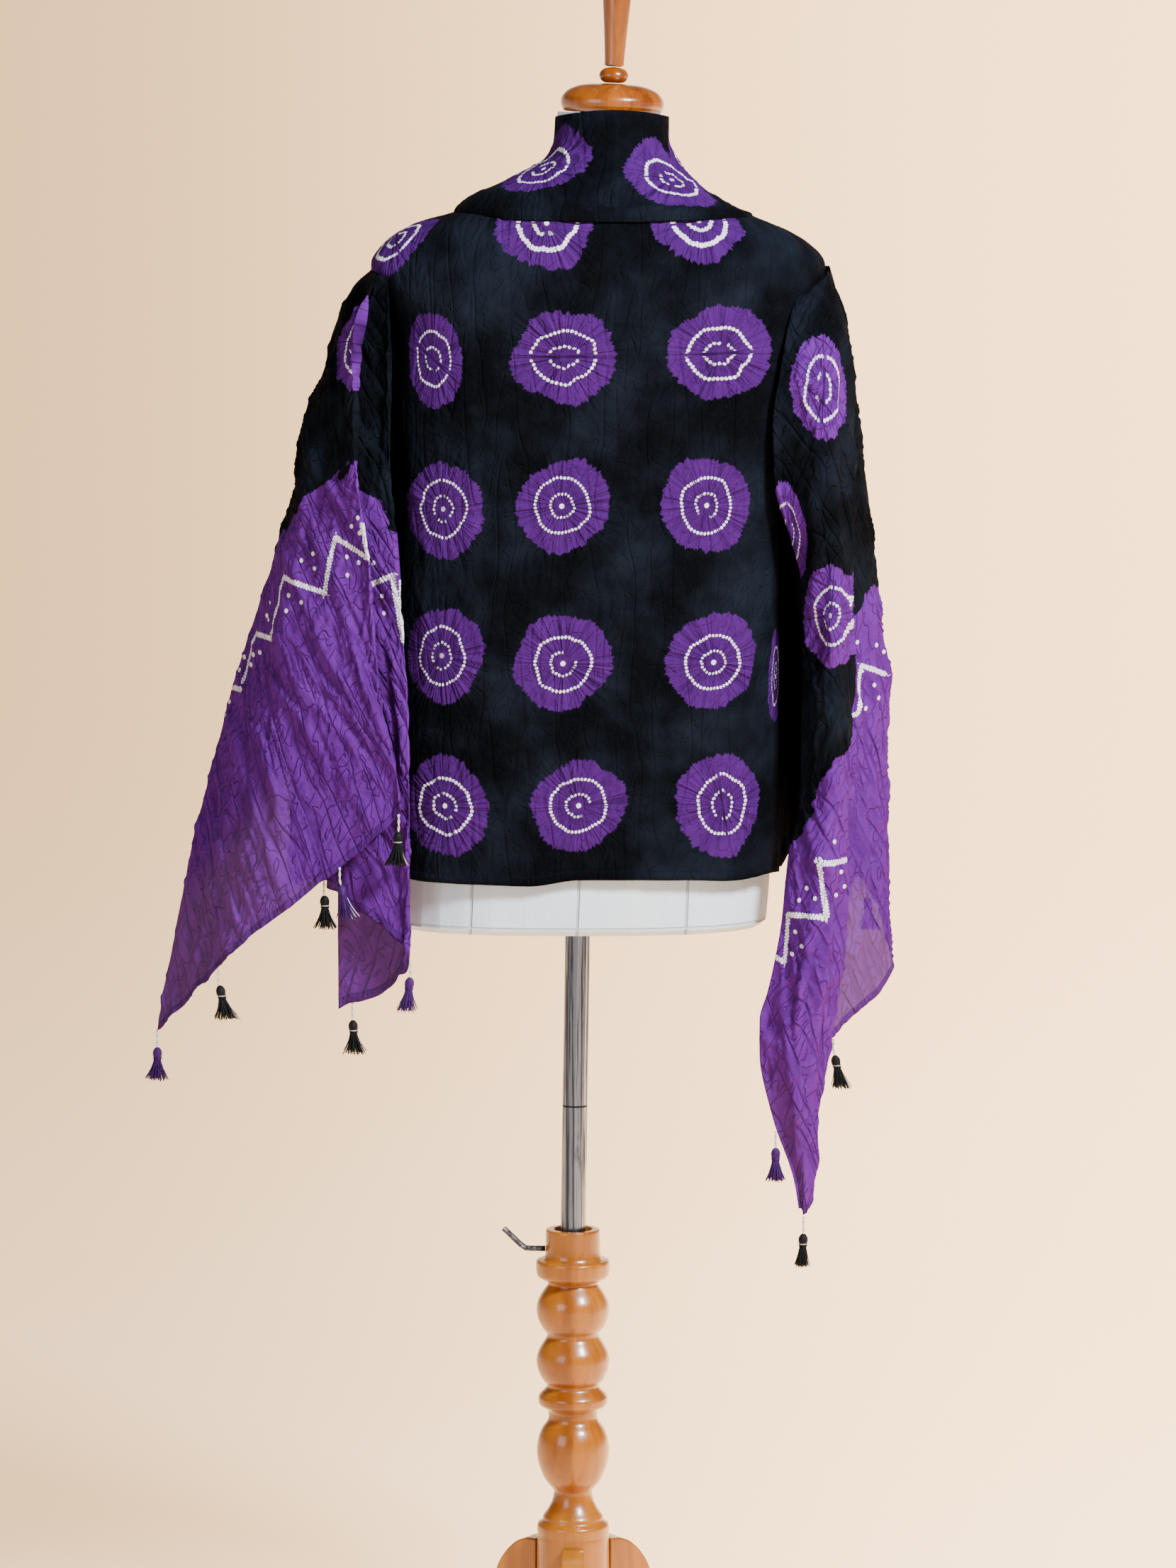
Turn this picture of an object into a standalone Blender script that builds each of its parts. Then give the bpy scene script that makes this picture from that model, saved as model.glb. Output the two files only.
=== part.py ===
# Dupatta stole draped on a limbless dress form with a turned wooden stand.
# Sizes are in millimetres and are turned into metres where a mesh is made.
# The near side of the form faces -Y, and the post stands on the world Z axis until the last step.

from collections import namedtuple
from math import cos, pi, radians, sin

import bmesh
import bpy
import numpy as np

MM = 0.001

# Driving dimensions of the stand
POLE_RADIUS = 11.8
POLE_BOTTOM = 416.0
POLE_TILT = 0.0158
TILT_FROM = 469.0
BORE_RADIUS = 15.4
LEG_THICK = 23.0
LEG_AZIMUTHS = (-90.0, 30.0, 150.0)
HUB_RADIUS = 34.6
HUB_TOP = 177.0
HUB_BOTTOM = 84.0
LEVER_RADIUS = 2.7
GAP = 0.3

# Driving dimensions of the form
FORM_BOTTOM = 771.0
FORM_LEAN = 0.0422
FORM_FOOT_X = 4.9
NECK_FROM = 1466.0
NECK_TO = 1500.0
HANDLE_TOP = 1696.0

# Driving dimensions of the stole
CLOTH = 1.6
TASSEL_STRANDS = 8
THREAD_RADIUS = 0.9
HEM_CLEARANCE = 0.45

# The middle of the whole model's box, which the last step moves to the origin
CENTRE_X = -50.3
CENTRE_Y = -60.5

# A ring round the form, with its height on the near side and at the shoulders
Ring = namedtuple("Ring", "z_near z_side left right near square phi_left phi_right")

# The collar's rings, from its top edge to the fold over the panel
COLLAR = [
    Ring(1528, 1518, 52.9, 52.9, 52.3, 2.0, 176, 364),
    Ring(1511, 1504, 53.5, 53.5, 54, 2.0, 168, 372),
    Ring(1492, 1490, 58.5, 58.5, 60, 2.0, 160, 380),
    Ring(1474, 1478, 78, 67, 74, 2.1, 156, 384),
    Ring(1460, 1467, 108, 83, 90, 2.2, 160, 381),
    Ring(1448, 1458, 124, 99, 106, 2.3, 166, 375),
    Ring(1436, 1449, 137, 124, 117, 2.5, 170, 370),
    Ring(1433.5, 1446, 138, 126, 115, 2.5, 170, 370),
]

# The wide panel's rings, from under the collar's fold to its hem
PANEL = [
    Ring(1441, 1441, 128, 120, 107, 2.4, 173, 367),
    Ring(1428, 1433, 158, 136, 113, 2.5, 173, 366),
    Ring(1408, 1422, 190, 166, 118, 2.7, 174, 362),
    Ring(1382, 1407, 209, 190, 121, 3.0, 176, 364),
    Ring(1350, 1389, 218, 204, 123, 3.3, 177, 358),
    Ring(1310, 1340, 200, 206.5, 123, 3.5, 182, 315),
    Ring(1245, 1255, 198, 198, 124, 3.4, 182, 315),
    Ring(1180, 1183, 196, 186, 125, 3.2, 182, 326),
    Ring(1100, 1100, 194, 181, 126, 3.0, 182, 340),
    Ring(1000, 1000, 190, 183, 127, 3.0, 182, 344),
    Ring(900, 900, 186, 187, 128, 3.0, 182, 346),
    Ring(823, 823, 184, 190, 129, 3.0, 182, 346),
]

# Heights in the left wing's front layer: its free edge, its middle, its right fold and its tuck
Outer = namedtuple("Outer", "z edge_x edge_y mid_x mid_y fold_x fold_y tuck_x tuck_y")
LEFT_OUTER = [
    Outer(1386, -186.9, 20, -186.5, -22, -175.5, -80, -172.5, -72),
    Outer(1368, -193, 26, -206, -30, -187, -98, -185, -84),
    Outer(1300, -219, 20, -231, -50, -198, -122, -208, -98),
    Outer(1210, -250, 12, -258, -62, -198, -134, -222, -104),
    Outer(1125, -278, 8, -264, -80, -187, -140, -222, -106),
    Outer(1000, -316, 0, -272, -96, -177, -145, -222, -101),
    Outer(900, -346, -8, -280, -104, -158, -147, -226, -98),
    Outer(800, -369, -14, -296, -108, -148, -147, -231, -96),
    Outer(660, -394, -22, -318, -104, -142, -147, -234, -96),
]
LEFT_OUTER_TOP = (1385, 1386, 1380, 1374)
LEFT_OUTER_HEM = (668, 766, 892, 822)

# Heights in the left wing's layers behind it: start, counted from the front layer's tuck, right fold,
# middle of the reverse and free edge
Inner = namedtuple("Inner", "z start_x start_y fold_x fold_y back_x back_y edge_x edge_y")
LEFT_INNER = [
    Inner(1368, 1.7, 1.8, -170, -86, -171, -74, -178, -52),
    Inner(1300, 1.7, 1.8, -167, -110, -174, -88, -190, -66),
    Inner(1210, 1.7, 1.8, -168, -117, -178, -92, -200, -71),
    Inner(1125, 1.7, 1.8, -163, -123, -180, -94, -208, -73),
    Inner(1000, 1.7, 1.8, -153, -126, -176, -96, -215, -74),
    Inner(900, 1.7, 1.8, -151, -128, -177, -96, -218, -74),
    Inner(800, 1.7, 1.8, -151, -128, -177, -96, -219, -75),
    Inner(660, 1.7, 1.8, -151, -128, -177, -96, -219, -76),
]
LEFT_INNER = [
    row._replace(start_x=row.start_x + front.tuck_x, start_y=row.start_y + front.tuck_y)
    for row, front in zip(LEFT_INNER, LEFT_OUTER[1:])
]
LEFT_INNER_TOP = (1360, 1358, 1356, 1354)
LEFT_INNER_HEM = (816, 752, 716, 698)

# Heights in the left flank, from the inner layer's edge, which its start is counted from, round the
# side to the panel
Flank = namedtuple("Flank", "z start_x start_y out_x out_y far_x far_y end_x end_y")
LEFT_FLANK = [
    Flank(1368, -0.8, 0.6, -196, -8, -190, 34, -180, 4),
    Flank(1300, -0.8, 0.6, -212, 0, -196, 52, -177, -6),
    Flank(1210, -0.8, 0.6, -234, 6, -208, 67, -179, -8),
    Flank(1125, -0.8, 0.6, -249, 9, -218, 78, -179, -8),
    Flank(1000, -0.8, 0.6, -262, 12, -226, 86, -180, -8),
    Flank(900, -0.8, 0.6, -267, 14, -228, 90, -181, -8),
    Flank(800, -0.8, 0.6, -270, 16, -230, 92, -181, -8),
]
LEFT_FLANK = [
    row._replace(start_x=row.start_x + inner.edge_x, start_y=row.start_y + inner.edge_y)
    for row, inner in zip(LEFT_FLANK, LEFT_INNER)
]
LEFT_FLANK_TOP = (1352, 1360, 1352, 1345)
LEFT_FLANK_HEM = (816, 806, 800, 822)

# Heights in the right wing's front layer: its left edge, its middle, its right fold and its tuck
RIGHT_FRONT = [
    Outer(1386, 219, -82, 232, -61, 240, -36, 240, -16),
    Outer(1343, 200, -103.8, 231, -103, 253, -66, 247, -38),
    Outer(1300, 192, -113, 229, -119, 258, -80, 248, -46),
    Outer(1245, 184, -114, 227, -124, 259, -88, 246, -52),
    Outer(1190, 186, -109, 227, -125, 260, -91, 244, -56),
    Outer(1140, 201, -99, 233, -123, 260, -92, 244, -58),
    Outer(1100, 211, -93, 238, -120, 260, -92, 243, -58),
    Outer(1000, 213, -90, 240, -120, 260, -92, 242, -58),
    Outer(900, 211, -92, 237, -121, 257, -92, 240, -58),
    Outer(847, 201, -95, 232, -123, 255, -92, 238, -59),
    Outer(780, 194, -97, 227, -123, 254, -92, 236, -60),
    Outer(719, 182, -97, 218, -122, 249, -92, 232, -62),
    Outer(690, 174, -97, 213, -121, 247, -92, 230, -63),
    Outer(660, 174, -97, 210, -119, 243, -91, 227, -64),
    Outer(600, 186, -96, 211, -112, 232, -89, 221, -70),
    Outer(541, 206, -94, 216, -101, 225, -90, 220, -82),
    Outer(500, 213, -92, 216, -94, 219, -91, 218, -88),
]
RIGHT_FRONT_TOP = (1362, 1378, 1385, 1385)
RIGHT_FRONT_HEM = (512, 503, 505, 560)

# Heights in the deep pleat between the panel and the right wing
RIGHT_PLEAT = [
    Flank(1330, 188, -88, 216, -40, 236, -28, 222, -76),
    Flank(1245, 186, -84, 212, -34, 234, -34, 206, -90),
    Flank(1150, 192, -58, 208, -4, 232, -22, 206, -84),
    Flank(1000, 195, -52, 210, 6, 232, -14, 214, -78),
    Flank(880, 196, -50, 212, 8, 232, -14, 212, -80),
    Flank(800, 197, -50, 212, 8, 232, -14, 206, -80),
]
RIGHT_PLEAT_TOP = (1300, 1325, 1325, 1315)
RIGHT_PLEAT_HEM = (826, 880, 884, 836)

# Heights in the right wing's back layer, seen beyond the front fold
RIGHT_BACK = [
    Inner(1388, 238, -16, 240, 2, 232, 18, 214, 26),
    Inner(1343, 248, -28, 254, 4, 240, 36, 216, 50),
    Inner(1245, 250, -38, 267, 6, 250, 50, 220, 66),
    Inner(1134, 250, -44, 281, 10, 262, 62, 224, 78),
    Inner(1049, 250, -46, 292, 12, 270, 68, 226, 86),
    Inner(1000, 250, -46, 298, 14, 274, 72, 226, 88),
    Inner(870, 248, -46, 299, 16, 274, 76, 224, 90),
    Inner(756, 247, -46, 302, 18, 274, 80, 220, 92),
    Inner(610, 244, -46, 306, 20, 272, 80, 214, 94),
]
RIGHT_BACK_TOP = (1380, 1388, 1388, 1388)
RIGHT_BACK_HEM = (664, 728, 806, 622)

# Half sizes of the form's rings, from its flat bottom to the neck under the cap
FormRing = namedtuple("FormRing", "z wide deep square")
FORM = [
    FormRing(771, 172, 112, 2.7),
    FormRing(776, 178, 118, 2.7),
    FormRing(840, 179.5, 120, 2.7),
    FormRing(900, 174, 116, 2.6),
    FormRing(1000, 158, 107, 2.4),
    FormRing(1080, 156, 108, 2.4),
    FormRing(1180, 168, 119, 2.4),
    FormRing(1250, 175, 122.6, 2.4),
    FormRing(1300, 181, 119, 2.4),
    FormRing(1350, 186, 104, 2.4),
    FormRing(1385, 185, 88, 2.4),
    FormRing(1405, 176, 79, 2.3),
    FormRing(1420, 158, 72, 2.2),
    FormRing(1433, 133.6, 66, 2.2),
    FormRing(1445, 106, 61, 2.1),
    FormRing(1455, 84, 57, 2.0),
    FormRing(1466, 66, 53, 2.0),
    FormRing(1480, 55, 50.5, 2.0),
    FormRing(1500, 51.6, 50.5, 2.0),
    FormRing(1529.7, 51.2, 50.5, 2.0),
]

# Radius and height of the turned post, down its outer side
POST = [
    (15.4, 475), (37.5, 475), (38.7, 473.8), (38.7, 446), (50.5, 445.5), (52.6, 443.5), (52.6, 434),
    (50, 429), (36, 424.5), (35, 422),
    (44, 414), (50.2, 406), (52.3, 398), (50.2, 389), (44, 380), (35, 373),
    (44, 364), (50.2, 356), (52.4, 348), (50.2, 339), (44, 330), (35, 323.5),
    (48.5, 315), (49.8, 310.5), (48, 305), (35.2, 300.5), (34.6, 291),
    (44, 283), (50, 273), (52.2, 261), (49.8, 248), (41, 233), (29.5, 224), (26.6, 221),
    (30, 211), (36.5, 203), (43, 197.5), (43.5, 193), (50.8, 190), (51.6, 186), (50.8, 179),
]
POST_SCALE = 0.67

# The curved leg's outline as reach from the axis and height, round from the hub's top
LEG = [
    (34.9, 172), (46, 172), (57, 168), (68, 158), (77, 145), (83, 128), (90, 106), (102, 84),
    (120, 64), (145, 47), (175, 34), (205, 27), (232, 25), (250, 21), (262, 10), (262, 0), (218, 0),
    (206, 8), (185, 13), (160, 20), (132, 32), (108, 48), (88, 68), (70, 90), (54, 102), (34.9, 106),
]

# Where each tassel hangs: the place along a stretch's hem or first edge, from 0 to 1, and how far
# its thread stands aside from it and below it
Tassel = namedtuple("Tassel", "stretch border along aside_x aside_y lower colour")
LEFT_TASSELS = [
    Tassel("outer", "hem", 0.0, 0, 0, -0.6, "purple"),
    Tassel("outer", "hem", 0.24, 0, 0, 0, "black"),
    Tassel("outer", "hem", 0.49, 0, 0, 0, "purple"),
    Tassel("outer", "hem", 0.645, 0, 0, 0.4, "black"),
    Tassel("outer", "hem", 1.0, -1, 0, -0.6, "black"),
    Tassel("inner", "hem", 0.333, 1, -0.5, 0.6, "purple"),
    Tassel("inner", "hem", 0.9, 0, 0, 0, "black"),
]
RIGHT_TASSELS = [
    Tassel("front", "hem", 0.33, 0, 0, -0.6, "black"),
    Tassel("front", "edge", 0.915, -1.8, 0, 0, "purple"),
    Tassel("back", "hem", 0.0, 0, 0, -0.6, "black"),
    Tassel("back", "hem", 0.6, 0, 0, 1.2, "purple"),
    Tassel("back", "hem", 1.0, 0, 0, -2.3, "purple"),
]

COLOURS = {
    "stole_cotton": ((0.012, 0.013, 0.017), 0.85, 0.0),
    "tassel_purple": ((0.13, 0.03, 0.28), 0.8, 0.0),
    "tassel_black": ((0.01, 0.01, 0.012), 0.8, 0.0),
    "form_cloth": ((0.72, 0.76, 0.80), 0.9, 0.0),
    "cap_wood": ((0.46, 0.15, 0.045), 0.25, 0.0),
    "post_wood": ((0.60, 0.30, 0.09), 0.3, 0.0),
    "pole_chrome": ((0.55, 0.56, 0.58), 0.25, 1.0),
    "lever_steel": ((0.12, 0.12, 0.13), 0.4, 1.0),
}


def clear_scene():
    for old in list(bpy.data.objects):
        bpy.data.objects.remove(old, do_unlink=True)


def material(name):
    found = bpy.data.materials.get(name)
    if found:
        return found
    colour, rough, metal = COLOURS[name]
    made = bpy.data.materials.new(name)
    made.use_nodes = True
    shader = made.node_tree.nodes["Principled BSDF"]
    shader.inputs["Base Color"].default_value = (*colour, 1.0)
    shader.inputs["Roughness"].default_value = rough
    shader.inputs["Metallic"].default_value = metal
    return made


def parts_collection():
    name = "dupatta_stole_on_form"
    found = bpy.data.collections.get(name)
    if found is None:
        found = bpy.data.collections.new(name)
        bpy.context.scene.collection.children.link(found)
    return found


def keep(name, mesh, material_name):
    made = bpy.data.objects.new(name, mesh)
    parts_collection().objects.link(made)
    mesh.materials.append(material(material_name))
    return made


def smooth_round(mesh, angle=40.0):
    mesh.shade_smooth()
    mesh.set_sharp_from_angle(angle=radians(angle))


def smooth(places, values, at):
    """The value at a place on a smooth curve through the values, which never overshoots them."""
    places = np.asarray(places, float)
    values = np.asarray(values, float)
    at = np.clip(np.asarray(at, float), places[0], places[-1])
    gaps = np.diff(places)
    rises = np.diff(values) / gaps
    before = rises[:-1]
    after = rises[1:]
    weigh_before = 2 * gaps[1:] + gaps[:-1]
    weigh_after = gaps[1:] + 2 * gaps[:-1]
    level = before * after <= 0
    mean = (weigh_before + weigh_after) / (
        weigh_before / np.where(level, 1, before) + weigh_after / np.where(level, 1, after)
    )
    slopes = np.concatenate([rises[:1], np.where(level, 0, mean), rises[-1:]])
    i = np.clip(np.searchsorted(places, at, side="right") - 1, 0, len(places) - 2)
    step = places[i + 1] - places[i]
    t = (at - places[i]) / step
    start = (1 + 2 * t) * (1 - t) ** 2 * values[i] + t * (1 - t) ** 2 * step * slopes[i]
    end = t * t * (3 - 2 * t) * values[i + 1] + t * t * (t - 1) * step * slopes[i + 1]
    return start + end


def form_axis_x(z):
    return FORM_FOOT_X + FORM_LEAN * (z - FORM_BOTTOM)


def signed_power(value, power):
    return np.sign(value) * np.abs(value) ** power


def ring_grid(rings, down, across):
    """Points of a stretch that wraps the form, as rows from its top edge to its hem."""
    rows = np.linspace(0, len(rings) - 1, down + 1)[:, None]
    v = np.linspace(0, 1, across + 1)[None, :]
    column = {
        key: smooth(range(len(rings)), [getattr(r, key) for r in rings], rows) for key in Ring._fields
    }
    phi = np.radians(column["phi_left"] + (column["phi_right"] - column["phi_left"]) * v)
    power = 2 / column["square"]
    side = np.abs(np.cos(phi)) ** 2
    z = column["z_near"] + (column["z_side"] - column["z_near"]) * side
    wide = np.where(np.cos(phi) < 0, column["left"], column["right"])
    x = form_axis_x(z) + wide * signed_power(np.cos(phi), power)
    y = column["near"] * signed_power(np.sin(phi), power)
    return np.stack([x, y, z + 0 * x], axis=-1)


def fold_grid(levels, top, hem, down, across):
    """Points of a stretch that hangs in folds, as rows from its top to its slanting hem."""
    names = levels[0]._fields
    lines = (len(names) - 1) // 2
    v = np.linspace(0, lines - 1, across + 1)
    upper = smooth(range(lines), top, v)[None, :]
    lower = smooth(range(lines), hem, v)[None, :]
    u = np.linspace(0, 1, down + 1)[:, None]
    z = upper + (lower - upper) * u
    heights = [level.z for level in reversed(levels)]
    x_lines = []
    y_lines = []
    for line in range(lines):
        across_x = [getattr(level, names[1 + 2 * line]) for level in reversed(levels)]
        across_y = [getattr(level, names[2 + 2 * line]) for level in reversed(levels)]
        x_lines.append(smooth(heights, across_x, z))
        y_lines.append(smooth(heights, across_y, z))
    x = np.zeros_like(z)
    y = np.zeros_like(z)
    for place in range(across + 1):
        x[:, place] = [smooth(range(lines), [q[i, place] for q in x_lines], v[place]) for i in range(down + 1)]
        y[:, place] = [smooth(range(lines), [q[i, place] for q in y_lines], v[place]) for i in range(down + 1)]
    return np.stack([x, y, z], axis=-1)


def cloth_sheet(name, grid, material_name="stole_cotton"):
    """A closed wall of even thickness through a grid of points."""
    rows, columns = grid.shape[:2]
    points = [tuple(p * MM) for p in grid.reshape(-1, 3)]
    faces = [
        (r * columns + c, (r + 1) * columns + c, (r + 1) * columns + c + 1, r * columns + c + 1)
        for r in range(rows - 1)
        for c in range(columns - 1)
    ]
    mesh = bpy.data.meshes.new(name)
    mesh.from_pydata(points, [], faces)
    mesh.shade_smooth()
    made = keep(name, mesh, material_name)
    wall = made.modifiers.new("wall", "SOLIDIFY")
    wall.thickness = CLOTH * MM
    wall.offset = 0.0
    return made


def turned(name, profile, material_name, steps=24, where=(0, 0, 0), tilt=0.0):
    """A turned piece: its profile runs down the outer side, from the axis to the axis."""
    mesh = bpy.data.meshes.new(name)
    points = [(r * MM, 0, z * MM) for r, z in profile]
    mesh.from_pydata(points, [(i, i + 1) for i in range(len(points) - 1)], [])
    made = keep(name, mesh, material_name)
    screw = made.modifiers.new("turn", "SCREW")
    screw.steps = steps
    screw.render_steps = steps
    screw.use_merge_vertices = True
    screw.merge_threshold = 0.00001
    screw.use_smooth_shade = True
    made.location = tuple(c * MM for c in where)
    made.rotation_euler = (0, tilt, 0)
    return made


def lofted_rings(name, rings, material_name, around=36):
    """A closed body through superellipse rings, with a flat face at each end.

    The neck's rings turn square to the leaning axis, so the cap sits flat on them.
    """
    mesh = bmesh.new()
    loops = []
    for ring in rings:
        loop = []
        neck = min(max((ring.z - NECK_FROM) / (NECK_TO - NECK_FROM), 0), 1)
        for k in range(around):
            a = 2 * pi * k / around
            x = form_axis_x(ring.z) + ring.wide * signed_power(cos(a), 2 / ring.square)
            y = ring.deep * signed_power(sin(a), 2 / ring.square)
            level = ring.z - FORM_LEAN * (x - form_axis_x(ring.z)) * neck
            loop.append(mesh.verts.new((x * MM, y * MM, level * MM)))
        loops.append(loop)
    for low, high in zip(loops, loops[1:]):
        for k in range(around):
            n = (k + 1) % around
            mesh.faces.new((low[k], low[n], high[n], high[k]))
    mesh.faces.new(list(reversed(loops[0])))
    mesh.faces.new(loops[-1])
    data = bpy.data.meshes.new(name)
    mesh.to_mesh(data)
    mesh.free()
    smooth_round(data, 50)
    return keep(name, data, material_name)


def make_form():
    fine = []
    heights = [r.z for r in FORM]
    for z in [771, 776, 800, 840, 880, 930, 980, 1030, 1080, 1130, 1180, 1230, 1275, 1315, 1350,
              1372, 1390, 1405, 1420, 1433, 1445, 1455, 1466, 1480, 1500, 1529.7]:
        fine.append(FormRing(z, *(float(smooth(heights, [r[i] for r in FORM], z)) for i in (1, 2, 3))))
    lofted_rings("form_body", fine, "form_cloth")


def make_cap_and_handle():
    lean = FORM_LEAN
    centre = form_axis_x(1530)
    cap = [(0, 1557.6), (14, 1557.4), (30, 1556), (42, 1551), (48.2, 1544), (48.6, 1538), (46.5, 1532.5),
           (44, 1530), (0, 1530)]
    base = 1530
    turned("neck_cap", [(r, z - base) for r, z in cap], "cap_wood", 28, (centre, 0, base), lean)
    ball = [(0, 15), (8, 14.2), (12.6, 11), (14, 7), (12.6, 3), (8.8, 0.2), (0, 0.2)]
    top = 1557.9
    turned("cap_ball", ball, "cap_wood", 20, (form_axis_x(top), 0, top), lean)
    start = top + 15.3
    rise = HANDLE_TOP - start
    handle = [(0, rise), (9, rise - 0.6), (14, rise - 5), (15.6, rise - 13), (15.2, rise - 26), (13.6, 66),
              (11, 34), (9, 4), (9.4, 0), (0, 0)]
    turned("cap_handle", handle, "cap_wood", 20, (form_axis_x(start), 0, start), lean)


def make_pole():
    height = (FORM_BOTTOM - GAP - POLE_BOTTOM) * MM
    bpy.ops.mesh.primitive_cylinder_add(vertices=24, radius=POLE_RADIUS * MM, depth=height)
    pole = bpy.context.object
    pole.name = "pole"
    middle = (FORM_BOTTOM - GAP + POLE_BOTTOM) / 2
    # The tilt is a shear, so both ends stay level and flat
    for vertex in pole.data.vertices:
        vertex.co.x += POLE_TILT * (vertex.co.z + (middle - TILT_FROM) * MM)
    pole.location = (0, 0, middle * MM)
    for collection in list(pole.users_collection):
        collection.objects.unlink(pole)
    parts_collection().objects.link(pole)
    pole.data.materials.append(material("pole_chrome"))
    smooth_round(pole.data)


def make_post():
    floor = POLE_BOTTOM - GAP
    scaled = [(BORE_RADIUS, 475)] + [(r * POST_SCALE, z) for r, z in POST[1:]]
    profile = [(0, floor), (BORE_RADIUS, floor)] + scaled
    profile += [(HUB_RADIUS, HUB_TOP), (HUB_RADIUS, HUB_BOTTOM + 4), (HUB_RADIUS - 4, HUB_BOTTOM), (0, HUB_BOTTOM)]
    turned("post", profile, "post_wood", 20)


def make_lever():
    route = [(-POST[2][0] * POST_SCALE - GAP, 456), (-38, 456), (-45, 456.4), (-50, 460), (-66, 475.5)]
    curve = bpy.data.curves.new("clamp_lever", "CURVE")
    curve.dimensions = "3D"
    curve.bevel_depth = LEVER_RADIUS * MM
    curve.bevel_resolution = 2
    curve.use_fill_caps = True
    line = curve.splines.new("POLY")
    line.points.add(len(route) - 1)
    for point, (x, z) in zip(line.points, route):
        point.co = (x * MM, 0, z * MM, 1)
    made = bpy.data.objects.new("clamp_lever", curve)
    parts_collection().objects.link(made)
    curve.materials.append(material("lever_steel"))


def make_legs():
    for number, azimuth in enumerate(LEG_AZIMUTHS, 1):
        curve = bpy.data.curves.new(f"leg_{number}", "CURVE")
        curve.dimensions = "2D"
        curve.fill_mode = "BOTH"
        curve.extrude = LEG_THICK / 2 * MM
        line = curve.splines.new("POLY")
        line.points.add(len(LEG) - 1)
        line.use_cyclic_u = True
        for point, (reach, height) in zip(line.points, LEG):
            point.co = (reach * MM, height * MM, 0, 1)
        made = bpy.data.objects.new(f"leg_{number}", curve)
        parts_collection().objects.link(made)
        made.rotation_euler = (pi / 2, 0, radians(azimuth))
        curve.materials.append(material("post_wood"))


def tassel_place(grid, border, along):
    """The point on a grid's last row or first column, at that share of it."""
    row = grid[-1] if border == "hem" else grid[:, 0]
    at = min(int(along * (len(row) - 1)), len(row) - 2)
    step = row[at + 1] - row[at]
    steep = abs(step[2]) / max(np.hypot(step[0], step[1]), 1.0) if border == "hem" else 0.0
    places = np.linspace(0, 1, len(row))
    where = np.array([np.interp(along, places, row[:, k]) for k in range(3)])
    where[2] -= HEM_CLEARANCE + THREAD_RADIUS * min(steep, 3)
    return where


def make_tassel(name, where, colour, drop=16.0, skirt=10.5, long=38.0):
    """A thread, a bound head and strands that leave its underside, as one body."""
    x, y, z = where
    top = z
    rings = [
        (THREAD_RADIUS, top), (THREAD_RADIUS, top - drop), (3.2, top - drop - 2.5), (4.6, top - drop - 6),
        (3.4, top - drop - 9.5), (5.2, top - drop - 13),
    ]
    mesh = bmesh.new()
    loops = []
    for radius, height in rings:
        loop = []
        for k in range(TASSEL_STRANDS):
            a = 2 * pi * k / TASSEL_STRANDS
            loop.append(mesh.verts.new(((x + radius * cos(a)) * MM, (y + radius * sin(a)) * MM, height * MM)))
        loops.append(loop)
    for high, low in zip(loops, loops[1:]):
        for k in range(TASSEL_STRANDS):
            n = (k + 1) % TASSEL_STRANDS
            mesh.faces.new((high[k], low[k], low[n], high[n]))
    mesh.faces.new(loops[0])
    middle = mesh.verts.new((x * MM, y * MM, rings[-1][1] * MM))
    roots = []
    for k in range(TASSEL_STRANDS):
        n = (k + 1) % TASSEL_STRANDS
        roots.append(mesh.faces.new((loops[-1][n], loops[-1][k], middle)))
    bmesh.ops.inset_individual(mesh, faces=roots, thickness=0.35 * MM)
    extruded = bmesh.ops.extrude_discrete_faces(mesh, faces=roots)
    for k, face in enumerate(extruded["faces"]):
        a = 2 * pi * (k + 0.5) / TASSEL_STRANDS
        length = long - 26 + 1.5 * sin(2.4 * k)
        for vertex in face.verts:
            vertex.co.x += (skirt - 3.4) * cos(a) * MM
            vertex.co.y += (skirt - 3.4) * sin(a) * MM
            vertex.co.z -= (length + 10) * MM
    bmesh.ops.recalc_face_normals(mesh, faces=mesh.faces)
    data = bpy.data.meshes.new(name)
    mesh.to_mesh(data)
    mesh.free()
    return keep(name, data, f"tassel_{colour}")


def make_stole():
    grids = {
        "collar": ring_grid(COLLAR, 9, 26),
        "panel": ring_grid(PANEL, 20, 30),
        "outer": fold_grid(LEFT_OUTER, LEFT_OUTER_TOP, LEFT_OUTER_HEM, 14, 15),
        "inner": fold_grid(LEFT_INNER, LEFT_INNER_TOP, LEFT_INNER_HEM, 13, 15),
        "flank": fold_grid(LEFT_FLANK, LEFT_FLANK_TOP, LEFT_FLANK_HEM, 10, 12),
        "front": fold_grid(RIGHT_FRONT, RIGHT_FRONT_TOP, RIGHT_FRONT_HEM, 20, 12),
        "pleat": fold_grid(RIGHT_PLEAT, RIGHT_PLEAT_TOP, RIGHT_PLEAT_HEM, 9, 9),
        "back": fold_grid(RIGHT_BACK, RIGHT_BACK_TOP, RIGHT_BACK_HEM, 14, 15),
    }
    names = {
        "collar": "stole_collar",
        "panel": "stole_panel",
        "outer": "stole_left_outer",
        "inner": "stole_left_inner",
        "flank": "stole_left_flank",
        "front": "stole_right_front",
        "pleat": "stole_right_pleat",
        "back": "stole_right_back",
    }
    for key, grid in grids.items():
        cloth_sheet(names[key], grid)
    for side, rows in (("left", LEFT_TASSELS), ("right", RIGHT_TASSELS)):
        for number, row in enumerate(rows, 1):
            where = tassel_place(grids[row.stretch], row.border, row.along)
            where += np.array([row.aside_x, row.aside_y, -row.lower])
            make_tassel(f"tassel_{side}_{number}", where, row.colour)


def centre_on_origin():
    for made in parts_collection().objects:
        made.location.x -= CENTRE_X * MM
        made.location.y -= CENTRE_Y * MM


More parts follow.
